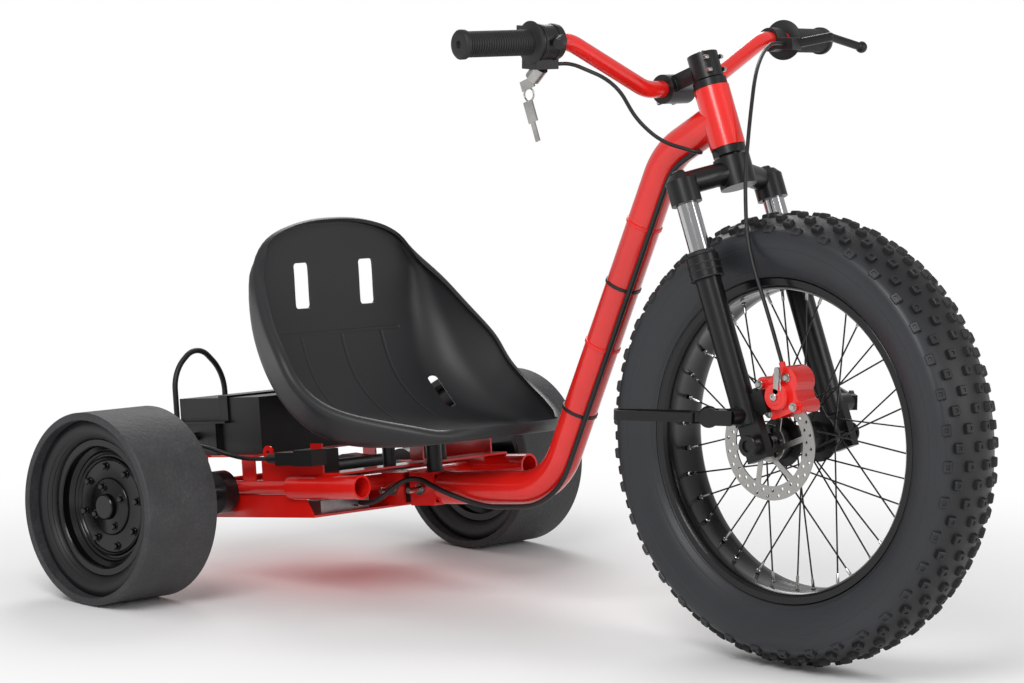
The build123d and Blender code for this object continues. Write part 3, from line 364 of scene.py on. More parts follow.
def plain_steel(name, colour, roughness=0.3, scale=260, stretch=(1, 1, 1)):
    """Zinc plated steel: mottled gloss and fine scratches."""
    g = Graph(name)
    mottle = g.noise(60, 4)
    scratch = g.noise(scale, 5, 0.7, stretch=stretch)
    dark = tuple(c * 0.72 for c in colour)
    g.set(Base_Color=g.blend(mottle.step(0.3, 0.7), dark, colour), Metallic=1.0,
          Roughness=roughness + (scratch - 0.5) * 0.25)
    g.bump(scratch, 0.00006, 0.4)
    return g.material


def polished_tube(name, colour):
    """Hard chrome on the fork's tubes, with faint rings from its grinding."""
    g = Graph(name)
    rings = g.noise(30, 4, stretch=(12, 12, 60))
    g.set(Base_Color=g.blend(rings.step(0.2, 0.8), tuple(c * 0.9 for c in colour), colour), Metallic=1.0,
          Roughness=0.09 + (rings - 0.5) * 0.06)
    g.bump(rings, 0.00002, 0.2)
    return g.material


def ground_disc(name, colour):
    """Ground steel whose fine rings run round the front axle."""
    g = Graph(name)
    ahead, left, up = g.parts(FRONT_AXLE)
    out = (ahead * ahead + up * up).power(0.5)
    rings = g.flow("ShaderNodeTexNoise", {"noise_dimensions": "1D"},
                   {"W": out * 1000, "Scale": 2.2, "Detail": 6.0})
    cloud = g.noise(40, 3)
    g.set(Base_Color=g.blend(rings.step(0.3, 0.7), tuple(c * 0.78 for c in colour), colour), Metallic=1.0,
          Roughness=0.3 + (rings - 0.5) * 0.2 + (cloud - 0.5) * 0.1)
    g.bump(rings, 0.00005, 0.4)
    return g.material


def front_tread(name, colour):
    """Tyre rubber: fine mould rings on the sidewall, a painted bluish sheen over the whole sidewall, and darker
    lugs and crown without it.
    """
    g = Graph(name)
    ahead, left, up = g.parts(FRONT_AXLE)
    out = (ahead * ahead + up * up).power(0.5)
    wall = 1 - out.step(0.262, 0.276)
    ribs = (out * 2600).sine()
    fine = g.noise(480, 3)
    cloud = g.noise(6, 4)
    bands = (out.step(0.2105, 0.2125) - out.step(0.2145, 0.2165)
             + out.step(0.243, 0.2436) - out.step(0.2442, 0.2448))
    # The sidewall is blended towards this paler blue: painted sheen standing in for light on the rubber, not a
    # colour of it.
    painted_sheen_blue = (0.030, 0.034, 0.040)
    g.set(Base_Color=g.blend(wall * (0.55 + (cloud - 0.5) * 0.8), colour, painted_sheen_blue),
          Roughness=0.52 + (cloud - 0.5) * 0.16 - wall * 0.08)
    g.bump(fine * 0.35 + ribs * wall * 0.12 + bands * 0.9, 0.0004, 0.6)
    return g.material


def plain_rubber(name, colour, roughness=0.62):
    """Rubber with a fine matt grain and slight scuffs."""
    g = Graph(name)
    cloud = g.noise(11, 4)
    fine = g.noise(700, 2)
    g.set(Base_Color=g.blend(cloud.step(0.4, 0.8), colour, tuple(c * 1.6 + 0.004 for c in colour)),
          Roughness=roughness + (cloud - 0.5) * 0.18)
    g.bump(fine, 0.00012, 0.4)
    return g.material


def recycled_sleeve(name, colour):
    """Hard slick sleeve of shredded plastic: pressed flakes, pale flecks and short scratches."""
    g = Graph(name)
    flakes = g.cells(150)
    edges = g.cells(115, "DISTANCE_TO_EDGE")
    specks = g.cells(260)
    cloud = g.noise(24, 5)
    crease = 1 - edges.step(0.0, 0.12)
    fleck = (1 - specks.step(0.05, 0.16)) * cloud.step(0.5, 0.66)
    base = g.blend(cloud.step(0.3, 0.75), colour, tuple(c * 1.5 for c in colour))
    worn = g.blend(crease * 0.35, base, tuple(c * 0.55 for c in colour))
    g.set(Base_Color=g.blend(fleck * 0.65, worn, (0.30, 0.29, 0.27)), Roughness=0.66 + (cloud - 0.5) * 0.2)
    g.bump(flakes * 0.5 + edges * 0.8 + cloud * 0.6, 0.0009, 0.75)
    return g.material


def seat_shell(name, colour):
    """Blow-moulded seat: a soft sheen over a very fine grain, with three grooves along it and one across."""
    g = Graph(name)
    cloud = g.noise(4, 3)
    grain = g.cells(780)
    fine = g.noise(240, 3)
    ahead, left, up = g.parts((0, 0, 0))
    half_groove = (0.0012, 0.0034)
    grooves = 0.0
    for line in (-0.078, 0.0, 0.078):
        grooves = grooves + (1 - (left - line).absolute().step(*half_groove))
    low = 1 - up.step(0.345, 0.352)
    level = (1 - (up - 0.350).absolute().step(*half_groove)) * (1 - left.absolute().step(0.112, 0.118))
    back = 1 - ahead.step(-0.20, -0.19)
    mark = (grooves * low + level).at_most(1.0) * back
    g.set(Base_Color=g.blend(cloud.step(0.3, 0.75), colour, tuple(c * 1.25 for c in colour)),
          Roughness=0.46 + (cloud - 0.5) * 0.1 + (fine - 0.5) * 0.06)
    g.bump(grain * 0.05 + fine * 0.03 - mark, 0.0014, 0.5)
    return g.material


def colour(name, description, default):
    """A colour setting."""
    return bpy.props.FloatVectorProperty(
        name=name, description=description, subtype="COLOR", default=default, min=0, max=1)


def length(name, description, default, low, high):
    """A size setting in millimetres."""
    return bpy.props.FloatProperty(
        name=name, description=description + " in millimetres", default=default, min=low, max=high)


class TrikeFinish(bpy.types.PropertyGroup):
    """Colours of the trike's finishes."""

    red: colour("Frame red", "Powder coat of the frame, bar and caliper", (0.80, 0.012, 0.008))
    black: colour("Fork black", "Satin coat of the fork, stem and rims", (0.0045, 0.0045, 0.005))
    seat: colour("Seat charcoal", "Plastic of the bucket seat", (0.013, 0.0137, 0.015))
    plastic: colour("Housing black", "Plastic of the battery and controls", (0.0042, 0.0042, 0.0046))
    sleeve: colour("Sleeve grey", "Hard sleeves of the rear wheels", (0.034, 0.035, 0.037))
    rubber: colour("Tyre black", "Rubber of the tyres", (0.0072, 0.0076, 0.0088))
    backdrop: colour("Backdrop", "Floor and background", (0.93, 0.93, 0.93))


class TrikeSizes(bpy.types.PropertyGroup):
    """Sizes of the trike's added pieces."""

    lug_pitch_count: bpy.props.IntProperty(
        name="Lug places", description="Places for lugs round the front tyre; each row fills every other one",
        default=76, min=20, max=120)
    lug_height: length("Lug height", "Height of a tread lug", 6.0, 2, 7)
    spoke_radius: length("Spoke radius", "Half a spoke's thickness", 1.1, 0.8, 2)
    sleeve_edge: length("Sleeve edge", "Rounding of the sleeves' edges", 2.0, 0.5, 4)
    seat_lip: length("Seat lip", "Radius of the seat's rolled lip", 9.0, 4, 14)
    camera_lens: length("Camera lens", "Focal length", 127.466, 20, 300)


MADE = {}


def finishes():
    """The materials by the name of the record's slot, made once."""
    if MADE:
        return MADE
    colours = bpy.context.scene.trike_finish
    red, black = tuple(colours.red), tuple(colours.black)
    plastic, rubber = tuple(colours.plastic), tuple(colours.rubber)
    MADE.update({
        "red_frame": gloss_paint("red_powder_coat", red),
        "red_caliper": gloss_paint("red_cast_coat", red, 0.32),
        "clip_red": moulded_plastic("red_clip_plastic", red, 0.35),
        "black_frame": satin_coat("black_satin_coat", black),
        "dark_plastic": moulded_plastic("black_housing_plastic", plastic, 0.42),
        "grey_case": plain_steel("brushed_case", (0.45, 0.45, 0.46), 0.42, 140, (1, 14, 1)),
        "bolt_steel": plain_steel("zinc_steel", (0.52, 0.51, 0.49), 0.24),
        "chrome_tube": polished_tube("hard_chrome", (0.52, 0.52, 0.53)),
        "rotor_steel": ground_disc("ground_steel", (0.44, 0.43, 0.41)),
        "seat_plastic": seat_shell("charcoal_seat_plastic", tuple(colours.seat)),
        "cord_black": plain_rubber("black_cord_rubber", tuple(c * 0.8 for c in rubber), 0.45),
        "grip_rubber": plain_rubber("grip_rubber", tuple(c * 0.9 for c in rubber), 0.58),
        "front_tread": front_tread("front_tyre_rubber", rubber),
        "rear_rubber": plain_rubber("rear_tyre_rubber", tuple(c * 0.9 for c in rubber), 0.5),
        "sleeve_plastic": recycled_sleeve("pressed_sleeve_plastic", tuple(colours.sleeve)),
        "wheel_black": satin_coat("wheel_black_gloss", tuple(c * 0.7 for c in black), 0.22),
        "bare_wire": plain_steel("bare_wire", (0.62, 0.61, 0.58), 0.35, 900, (1, 1, 6)),
    })
    return MADE


def joined(name, shapes):
    """One object from several shapes, with doubles merged and faces turned outwards."""
    points, faces, start = [], [], 0
    for shape_points, shape_faces in shapes:
        points.append(np.asarray(shape_points).reshape(-1, 3))
        faces += [[index + start for index in face] for face in shape_faces]
        start += len(points[-1])
    mesh = bpy.data.meshes.new(name)
    mesh.from_pydata(np.concatenate(points).tolist(), [], faces)
    tidy_mesh(mesh)
    return bpy.data.objects.new(name, mesh)


def piece(name, shapes, body, finish, replaces=(), bevel=0.0, sharp=34.0):
    """One object from several shapes, with its finish and body."""
    return dress(joined(name, shapes), body, finish, replaces, bevel, sharp)


def tidy_mesh(mesh):
    """Merge doubles, drop loose edges and turn the faces outwards."""
    work = bmesh.new()
    work.from_mesh(mesh)
    bmesh.ops.remove_doubles(work, verts=work.verts, dist=2e-6)
    loose = [edge for edge in work.edges if not edge.link_faces]
    bmesh.ops.delete(work, geom=loose, context="EDGES")
    bmesh.ops.recalc_face_normals(work, faces=work.faces)
    work.to_mesh(mesh)
    work.free()


def dress(thing, body, finish, replaces=(), bevel=0.0, sharp=34.0):
    """Link an object, smooth it, give it its finish and its body, and hide the nodes that it stands for;
    the body is None for a piece that is left without one."""
    bpy.context.scene.collection.objects.link(thing)
    thing.data.shade_smooth()
    thing.data.set_sharp_from_angle(angle=math.radians(sharp))
    if bevel:
        edges = thing.modifiers.new("edges", "BEVEL")
        edges.width = bevel / 1000
        edges.segments = 2
        edges.limit_method = "ANGLE"
    thing.data.materials.clear()
    thing.data.materials.append(finishes()[finish])
    if body:
        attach(thing, body)
    if replaces:
        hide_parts(*replaces)
    return thing


def smooth_copy(node, body, finish, sharp=40.0, bevel=0.0):
    """A merged copy of a node's mesh, shaded smoothly across its small facets, that stands for the node."""
    mesh = NODES[node].data.copy()
    mesh.name = node + "_smooth"
    work = bmesh.new()
    work.from_mesh(mesh)
    bmesh.ops.remove_doubles(work, verts=work.verts, dist=2e-6)
    work.to_mesh(mesh)
    work.free()
    if mesh.attributes.get("custom_normal"):
        mesh.attributes.remove(mesh.attributes["custom_normal"])
    return dress(bpy.data.objects.new(node + "_smooth", mesh), body, finish, [node], bevel, sharp)


WORLD_LIGHT = 0.5  # how brightly the white world lights the trike
WORLD_SEEN = 1.0  # how brightly the camera sees it
CAMERA_PLACE = (3.2197115, -3.5500570, 0.9187979)
CAMERA_TURNS = (2.32767407, -0.11257868, 0.02244303)  # yaw, pitch and roll in radians


class TRIKE_OT_stage(bpy.types.Operator):
    """Set up the pale floor, the soft lights, the white world and the camera"""

    bl_idname = "trike.stage"
    bl_label = "Stage"

    def execute(self, context):
        scene = context.scene
        scene.view_settings.view_transform = "Standard"
        g = Graph("pale_floor")
        cloud = g.noise(2, 2)
        tone = tuple(scene.trike_finish.backdrop)
        g.set(Base_Color=g.blend(cloud.step(0.2, 0.8), tuple(c * 0.985 for c in tone), tone), Roughness=0.9,
              Specular_IOR_Level=0.0)
        ahead, left, up = g.parts((0, 0, 0))
        # The floor takes shadows near the trike and turns into plain white further out
        far = (ahead * ahead + left * left).power(0.5).step(0.75, 1.5)
        white = g.flow("ShaderNodeEmission", None, {"Color": (1, 1, 1), "Strength": 1.0})
        surface = g.node("ShaderNodeMixShader", None, {0: far, 1: Flow(g, g.shader.outputs[0]), 2: white})
        g.tree.links.new(surface.outputs[0], g.tree.nodes["Material Output"].inputs["Surface"])
        reach, drop = 14.0, -0.0005
        corners = [[(x, y, drop) for y in (-reach, reach)] for x in (-reach, reach)]
        points, faces = grid(np.array(corners), False, False)
        mesh = bpy.data.meshes.new("floor")
        mesh.from_pydata(points.tolist(), [], faces)
        floor = bpy.data.objects.new("floor", mesh)
        mesh.materials.append(g.material)
        scene.collection.objects.link(floor)

        world = bpy.data.worlds.new("white_world")
        scene.world = world
        world.use_nodes = True
        tree = world.node_tree
        ray = tree.nodes.new("ShaderNodeLightPath")
        lamp = tree.nodes["Background"]
        lamp.inputs["Color"].default_value = (1, 1, 1, 1)
        seen = tree.nodes.new("ShaderNodeMath")
        seen.operation = "MAXIMUM"
        tree.links.new(ray.outputs["Is Camera Ray"], seen.inputs[0])
        tree.links.new(ray.outputs["Is Transmission Ray"], seen.inputs[1])
        strength = tree.nodes.new("ShaderNodeMapRange")
        strength.inputs["To Min"].default_value = WORLD_LIGHT
        strength.inputs["To Max"].default_value = WORLD_SEEN
        tree.links.new(seen.outputs[0], strength.inputs["Value"])
        tree.links.new(strength.outputs[0], lamp.inputs["Strength"])

        lamps = (
            # name, place, what it points at, size, watts
            ("key", (1.2, -2.6, 2.6), (0.0, 0.0, 0.3), 1.8, 62),
            ("fill", (3.2, 0.6, 1.6), (0.2, 0.0, 0.4), 1.6, 26),
            ("back", (-2.2, 1.8, 2.4), (-0.1, 0.0, 0.4), 1.8, 40),
        )
        for name, place, target, size, watts in lamps:
            light = bpy.data.lights.new(name, "AREA")
            light.shape = "DISK"
            light.size = size
            light.energy = watts
            thing = bpy.data.objects.new(name, light)
            away = unit(np.array(place) - np.array(target))
            side = unit(np.cross(UP, away))
            thing.matrix_world = matrix(side, np.cross(away, side), away, place)
            scene.collection.objects.link(thing)

        camera = bpy.data.cameras.new("camera")
        camera.lens = scene.trike_sizes.camera_lens
        camera.sensor_width = 36.0
        camera.clip_end = 60
        eye = bpy.data.objects.new("camera", camera)
        yaw, pitch, roll = CAMERA_TURNS
        ahead = np.array((math.cos(yaw) * math.cos(pitch), math.sin(yaw) * math.cos(pitch), math.sin(pitch)))
        level = unit(np.cross(ahead, UP))
        over = np.cross(level, ahead)
        right = math.cos(roll) * level + math.sin(roll) * over
        top = -math.sin(roll) * level + math.cos(roll) * over
        eye.matrix_world = matrix(right, top, -ahead, CAMERA_PLACE)
        scene.collection.objects.link(eye)
        scene.camera = eye
        return {"FINISHED"}


def matrix(right, top, back, place):
    """The transform of a lamp or camera from its three axes and its place."""
    rows = np.eye(4)
    rows[:3, 0], rows[:3, 1], rows[:3, 2], rows[:3, 3] = right, top, back, place
    return Matrix(rows.tolist())


class TRIKE_OT_frame_finish(bpy.types.Operator):
    """Give every CAD node its finish"""

    bl_idname = "trike.frame_finish"
    bl_label = "Frame finishes"

    def execute(self, context):
        slots = {part["node"]: part["material_slot"] for part in frame["record"]["subparts"]}
        made = finishes()
        for name, node in NODES.items():
            material = made["wheel_black" if name in ("rear_rims", "front_rim") else slots[name]]
            if not node.data.materials:
                node.data.materials.append(material)
            for index in range(len(node.data.materials)):
                node.data.materials[index] = material
        return {"FINISHED"}


def about_axle(axle, radius, angle, left):
    """A point at a radius and angle round a wheel's axle, in millimetres out and to the left."""
    return axle + np.array((radius * math.cos(angle), left, radius * math.sin(angle))) / 1000


def front_carcass():
    """The tyre's wall from bead to bead over the crown, as a closed profile of (across, out) in millimetres."""
    half = np.array([
        (28, 198.3), (34.2, 198.3), (34.2, 205), (36.5, 208.2), (38.6, 207.4), (41.5, 210.5), (45.2, 216),
        (49.0, 224.5), (52.0, 235), (53.6, 245), (54.0, 252), (53.4, 258), (51.6, 263), (48.0, 266.5),
        (42.0, 269), (34.0, 273.8), (26.0, 277.8), (18.0, 280.7), (9.0, 282.6), (0.0, 283.2),
    ])
    inner = np.array([(0, 278), (20, 274), (38, 264), (48, 250), (43, 228), (28, 208)])
    mirrored = np.array([(-1, 1)])
    return np.concatenate([half, (half * mirrored)[-2::-1], (inner * mirrored)[::-1], inner[1:]])


LUG_ROWS = (
    # across, carcass radius there, lean, width, length, share of the pitch, every how many places
    (7.0, 282.3, 5, 9.5, 11.0, 0.0, 2),
    (-7.0, 282.3, -5, 9.5, 11.0, 1.0, 2),
    (21.5, 279.3, 17, 10.0, 11.5, 1.0, 2),
    (-21.5, 279.3, -17, 10.0, 11.5, 0.0, 2),
    (34.5, 273.2, 31, 10.0, 11.5, 0.0, 2),
    (-34.5, 273.2, -31, 10.0, 11.5, 1.0, 2),
    (46.0, 265.4, 50, 10.5, 13.0, 1.0, 2),
    (-46.0, 265.4, -50, 10.5, 13.0, 0.0, 2),
)


def lug_shapes(count, height):
    """Each lug is a block with a stepped, chamfered top and a shallow notch: the same rings of points,
    placed by the row's lean and turned round the axle to its own angle, all as one array."""
    shapes = []
    for left, radius, lean, width, length, share, every in LUG_ROWS:
        rings = []
        for grow, rise in ((1.18, -2.5), (1.14, 0.4), (1.0, height * 0.82), (0.82, height), (0.42, height),
                           (0.34, height - 1.2)):
            outline = rounded_outline(width * grow, length * grow, 1.2 * grow, 2)
            rings.append(np.column_stack([outline, np.full(len(outline), rise)]))
        rings = np.stack(rings)
        lean = math.radians(lean)
        across_way = rings[..., 0] * math.cos(lean) + rings[..., 2] * math.sin(lean) + left
        out = radius + rings[..., 2] * math.cos(lean) - rings[..., 0] * math.sin(lean)
        along = rings[..., 1]
        angles = (np.arange(0, count, every) + share) * 2 * np.pi / count
        cosine, sine = np.cos(angles)[:, None, None], np.sin(angles)[:, None, None]
        points = np.stack([
            out * cosine - along * sine,
            np.broadcast_to(across_way, (len(angles), *across_way.shape)),
            out * sine + along * cosine,
        ], -1) / 1000 + FRONT_AXLE
        for lug in points:
            lug_points, faces = grid(lug, False, True)
            ring = rings.shape[1]
            last = len(lug_points) - ring
            shapes.append((lug_points, faces + [list(range(last, last + ring)), list(range(ring))]))
    return shapes


class TRIKE_OT_front_tyre(bpy.types.Operator):
    """Make the fat front tyre with its staggered lugs"""

    bl_idname = "trike.front_tyre"
    bl_label = "Front tyre"

    def execute(self, context):
        sizes = context.scene.trike_sizes
        shapes = [turned(front_carcass(), FRONT_AXLE, LEFT, 192)]
        shapes += lug_shapes(sizes.lug_pitch_count, sizes.lug_height)
        piece("front_tyre_dressed", shapes, "front_wheel", "front_tread", ["front_tyre"], sharp=28)
        return {"FINISHED"}


# Profiles of (across, out) in millimetres, turned about the wheels' axles
FRONT_RIM = [
    (-37.5, 205.2), (-36.8, 206), (-35.3, 206), (-34.5, 205.2), (-34.5, 198), (34.5, 198),
    (34.5, 205.2), (35.3, 206), (36.8, 206), (37.5, 205.2), (37.5, 197), (35, 194.2), (30, 191.3),
    (18, 191), (14, 192.2), (-14, 192.2), (-18, 191), (-30, 191.3), (-35, 194.2), (-37.5, 197),
]
FRONT_HUB = [
    (-66, 5.05), (-66, 11), (-65, 12), (-59, 12), (-59, 21), (-58, 22), (-39, 22), (-38, 31),
    (-37, 32), (-35, 32), (-34, 31), (-33.5, 20), (-30, 17.5), (30, 17.5), (33.5, 20), (34, 31),
    (35, 32), (37, 32), (38, 31), (38.5, 20), (41, 19), (58, 19), (59, 18), (59, 12), (65, 12),
    (66, 11), (66, 5.05),
]


class TRIKE_OT_front_wheel(bpy.types.Operator):
    """Make the front rim, the hub, the crossed spokes with their nipples, and the rotor's bolts"""

    bl_idname = "trike.front_wheel"
    bl_label = "Front wheel"

    def execute(self, context):
        sizes = context.scene.trike_sizes
        piece("front_rim_turned", [turned(FRONT_RIM, FRONT_AXLE, LEFT, 192)], "front_wheel", "wheel_black",
              ["front_rim"], sharp=40)
        shapes = [turned(FRONT_HUB, FRONT_AXLE, LEFT, 64)]
        nipples = []
        spokes = 36
        for number in range(spokes):
            side = 1 if number % 2 else -1
            lean = 1 if number % 4 < 2 else -1
            rim_angle = math.radians(number * 360 / spokes)
            head_angle = rim_angle + lean * math.radians(58)
            head = about_axle(FRONT_AXLE, 28, head_angle, side * (36 + lean))
            tip = about_axle(FRONT_AXLE, 190.7, rim_angle, side * 4)
            way = unit(tip - head)
            shapes.append(rounded_bar(head, tip - way * 0.006, sizes.spoke_radius, 0.2, 8))
            nipples.append(turned([(0, 0), (0, 1.5), (2, 2.0), (12, 2.0), (13, 3.0), (15.5, 3.0), (15.5, 0)],
                                  tip - way * 0.0155, way, 10))
        piece("front_hub_laced", shapes, "front_wheel", "black_frame", ["front_hub"])
        piece("spoke_nipples", nipples, "front_wheel", "bolt_steel")
        bolts = []
        for number in range(6):
            angle = math.radians(number * 60 + 12)
            bolts += cap_bolt(about_axle(FRONT_AXLE, 17.6, angle, -61), -LEFT, 3.6, 2.4)
        piece("rotor_bolts", bolts, "front_wheel", "black_frame")
        return {"FINISHED"}


class TRIKE_OT_fork(bpy.types.Operator):
    """Add the fork's caps, seals, axle caps and bolts"""

    bl_idname = "trike.fork"
    bl_label = "Fork details"

    def execute(self, context):
        smooth_copy("stanchions", "steering", "chrome_tube")
        smooth_copy("headset", "chassis", "black_frame")
        for node in ("fork_crown", "fork_lowers", "steerer", "peg_mounts"):
            smooth_copy(node, "steering", "black_frame")
        leg_ahead, leg_left = -20, 85
        caps, seals, ends = [], [], []
        seal = [(0, 14.1), (0, 17.5), (1.5, 18.6), (5, 18.6), (7, 16), (7, 14.1)]
        rib = [(0, 20.5), (0.3, 21.7), (1.7, 21.7), (2, 20.5)]
        axle_cap = [
            (0, 0), (0, 12.5), (1.2, 13.6), (3.6, 13.6), (4.6, 12.6), (4.6, 7.4), (1.6, 6.8), (1.6, 0),
        ]
        for side in (-1, 1):
            caps += hex_bolt(steer(leg_ahead, side * leg_left, -27.2), STEER_UP, 9, 5)
            seals.append(turned(seal, steer(leg_ahead, side * leg_left, -136), STEER_UP, 48))
            for low in (-147, -156, -165.4):
                seals.append(turned(rib, steer(leg_ahead, side * leg_left, low), STEER_UP, 48))
            ends.append(turned(axle_cap, steer(-16, side * 100.5, -384), side * LEFT, 48))
            ends += cap_bolt(steer(leg_ahead, side * 103, -58), side * LEFT, 3.2, 1.8)
        piece("fork_caps", caps, "steering", "black_frame")
        piece("fork_seals", seals, "steering", "grip_rubber")
        piece("axle_nuts", ends, "steering", "black_frame")
        return {"FINISHED"}


class TRIKE_OT_caliper(bpy.types.Operator):
    """Dress the disc caliper with its cap, arm, bolts and the bare end of the cable"""

    bl_idname = "trike.caliper"
    bl_label = "Caliper"

    def execute(self, context):
        smooth_copy("caliper", "steering", "red_caliper", bevel=0.8)
        face = -85.2
        cap = [(3.4, 0), (3.4, 10), (2.2, 11), (2.2, 16), (0, 17.8), (0, 17.4)]
        piece("caliper_cap", [turned(cap, steer(34, face, -336), -LEFT, 40)], "steering", "red_caliper")
        bolts = []
        for ahead, up, out in ((14, -314, face), (56, -356, face), (54, -318, -79.2), (12, -352, -79.2)):
            bolts += hex_bolt(steer(ahead, out, up), -LEFT, 4.2, 3.4, 5.6)
        bolts += cap_bolt(steer(34, face - 3.2, -336), -LEFT, 5, 3)
        bolts.append(slab(rounded_outline(34, 8, 3.8), steer(44, face - 1.2, -318),
                          unit(STEER_AHEAD * 0.45 + STEER_UP), unit(STEER_UP * 0.45 - STEER_AHEAD), 2.2))
        piece("caliper_bolts", bolts, "steering", "bolt_steel")
        wire = [steer(46, -70, -296), steer(48, -76, -306), steer(49, -86.5, -318), steer(46, -88, -332)]
        piece("brake_wire", [carried(np.array(wire), 0.8, 8)], "steering", "bare_wire")
        return {"FINISHED"}


def bar_end(side, from_end):
    """A point on the bar's outer end, this far in from its tip, and the way outwards along the bar."""
    corner = steer(-47, side * 190, 163)
    tip = steer(-77, side * 352, 171)
    way = unit(tip - corner)
    return tip - way * from_end / 1000, way


class TRIKE_OT_controls(bpy.types.Operator):
    """Make the bar, the ribbed grips, the throttle, the keys and the brake lever"""

    bl_idname = "trike.controls"
    bl_label = "Controls"

    def execute(self, context):
        for node, finish, bevel in (
            ("handlebar", "red_frame", 0), ("stem", "black_frame", 0.8), ("lever_perch", "dark_plastic", 0.8),
            ("throttle_housing", "dark_plastic", 0.8), ("brake_lever", "black_frame", 0),
            ("key_switch", "bolt_steel", 0),
        ):
            smooth_copy(node, "steering", finish, bevel=bevel)
        shapes = []
        for side in (-1, 1):
            start, way = bar_end(side, 108)
            profile = [(0, 11.2), (0, 25.5), (1.2, 27), (2.8, 27), (4, 25.5), (4.5, 18)]
            for ridge in range(26):
                along = 6.5 + ridge * 3.7
                profile += [(along, 15.1), (along + 0.7, 16.3), (along + 2.4, 16.3), (along + 3.1, 15.1)]
            profile += [
                (103, 16.5), (104, 18.6), (109.5, 18.6), (111.6, 16.8), (112, 12), (112, 5), (109, 4),
                (109, 0), (107.9, 0), (107.9, 11.2),
            ]
            shapes.append(turned(profile, start, way, 56))
        piece("grips_ribbed", shapes, "steering", "grip_rubber", ["grips"], sharp=50)

        bolts = []
        for left in (-14, 14):
            for up in (89, 113):
                bolts += cap_bolt(steer(-79.3 + abs(up - 101) * 0.25, left, up), -STEER_AHEAD, 3.4, 4)
        bolts += cap_bolt(steer(0, 0, 126.2), STEER_UP, 5, 3, 12)
        for up in (100, 117):
            bolts += cap_bolt(steer(17, -12, up), -LEFT, 3.2, 6)
            bolts += hex_bolt(steer(17, 12, up), LEFT, 3.4, 5)
        piece("stem_bolts", bolts, "steering", "bolt_steel")

        head, way = bar_end(-1, 128)
        lobe = [
            head - STEER_UP * 0.004 + STEER_AHEAD * 0.016,
            head - STEER_UP * 0.008 + STEER_AHEAD * 0.027,
            head - STEER_UP * 0.014 + STEER_AHEAD * 0.030 + way * 0.010,
        ]
        thumb = [carried(lobe, 7.5, 20)]
        for along in (-14, 8):
            band = [(along, 22.3), (along + 1, 23.2), (along + 5, 23.2), (along + 6, 22.3)]
            thumb.append(turned(band, head, way, 48))
        piece("throttle_thumb", thumb, "steering", "dark_plastic", bevel=1.0)
        smooth_copy("keys", "steering", "bolt_steel", bevel=0.3)
        return {"FINISHED"}


SEAT_STATIONS = np.array((
    # ahead, up, slope of the path, half width, depth, corner radius, draft
    (-501.5, 500, -83, 118, 8, 5, 3),
    (-499.5, 487, -83, 143, 14, 10, 5),
    (-490.5, 450, -82, 170, 27, 21, 10),
    (-478.5, 370, -78, 200, 62, 50, 26),
    (-434.5, 280, -48, 214, 82, 70, 40),
    (-360.5, 233, -18, 215, 66, 55, 38),
    (-280.5, 222, 0, 208, 42, 34, 30),
    (-192.5, 227, 6, 164, 26, 20, 20),
    (-122.5, 240, 13, 106, 12, 9, 5),
    (-90.5, 246, 15, 52, 5, 3, 2),
))


def seat_point(along, over):
    """The bucket's inner face: stations blended along the path, each a tray of a floor, two round corners
    and two drafted walls, walked at an even pace from rim to rim."""
    reach = np.concatenate([[0], np.cumsum(np.hypot(*np.diff(SEAT_STATIONS[:, :2], axis=0).T))])
    ahead, up, slope, half, depth, corner, draft = (
        smooth_between(along * reach[-1], reach, SEAT_STATIONS[:, column]) for column in range(7))
    slope = np.radians(slope)
    lean = np.arctan2(draft, depth)
    corner = np.minimum(corner, depth * 0.92)
    turn = np.pi / 2 - lean
    flat = half - draft - corner * np.tan(turn / 2)
    arc = corner * turn
    wall = np.maximum(np.hypot(draft, depth) - corner * np.tan(turn / 2), 0)
    walked = np.abs(over) * (flat + arc + wall)
    on_arc = np.clip(walked - flat, 0, arc) / corner
    on_wall = np.clip(walked - flat - arc, 0, None)
    side = np.minimum(walked, flat) + corner * np.sin(on_arc) + on_wall * np.sin(lean)
    height = corner * (1 - np.cos(on_arc)) + on_wall * np.cos(lean)
    side = side * np.sign(over)
    return np.stack([ahead - height * np.sin(slope), side, up + height * np.cos(slope)], -1) / 1000


def smooth_between(value, knots, heights):
    """A smooth curve through the heights at the knots, by cubic pieces whose slopes follow their neighbours."""
    slopes = np.gradient(heights, knots)
    index = np.clip(np.searchsorted(knots, value) - 1, 0, len(knots) - 2)
    gap = knots[index + 1] - knots[index]
    share = (value - knots[index]) / gap
    from_height = (1 + 2 * share) * (1 - share) ** 2 * heights[index]
    from_slope = share * (1 - share) ** 2 * gap * slopes[index]
    to_height = share ** 2 * (3 - 2 * share) * heights[index + 1]
    to_slope = share ** 2 * (share - 1) * gap * slopes[index + 1]
    return from_height + from_slope + to_height + to_slope


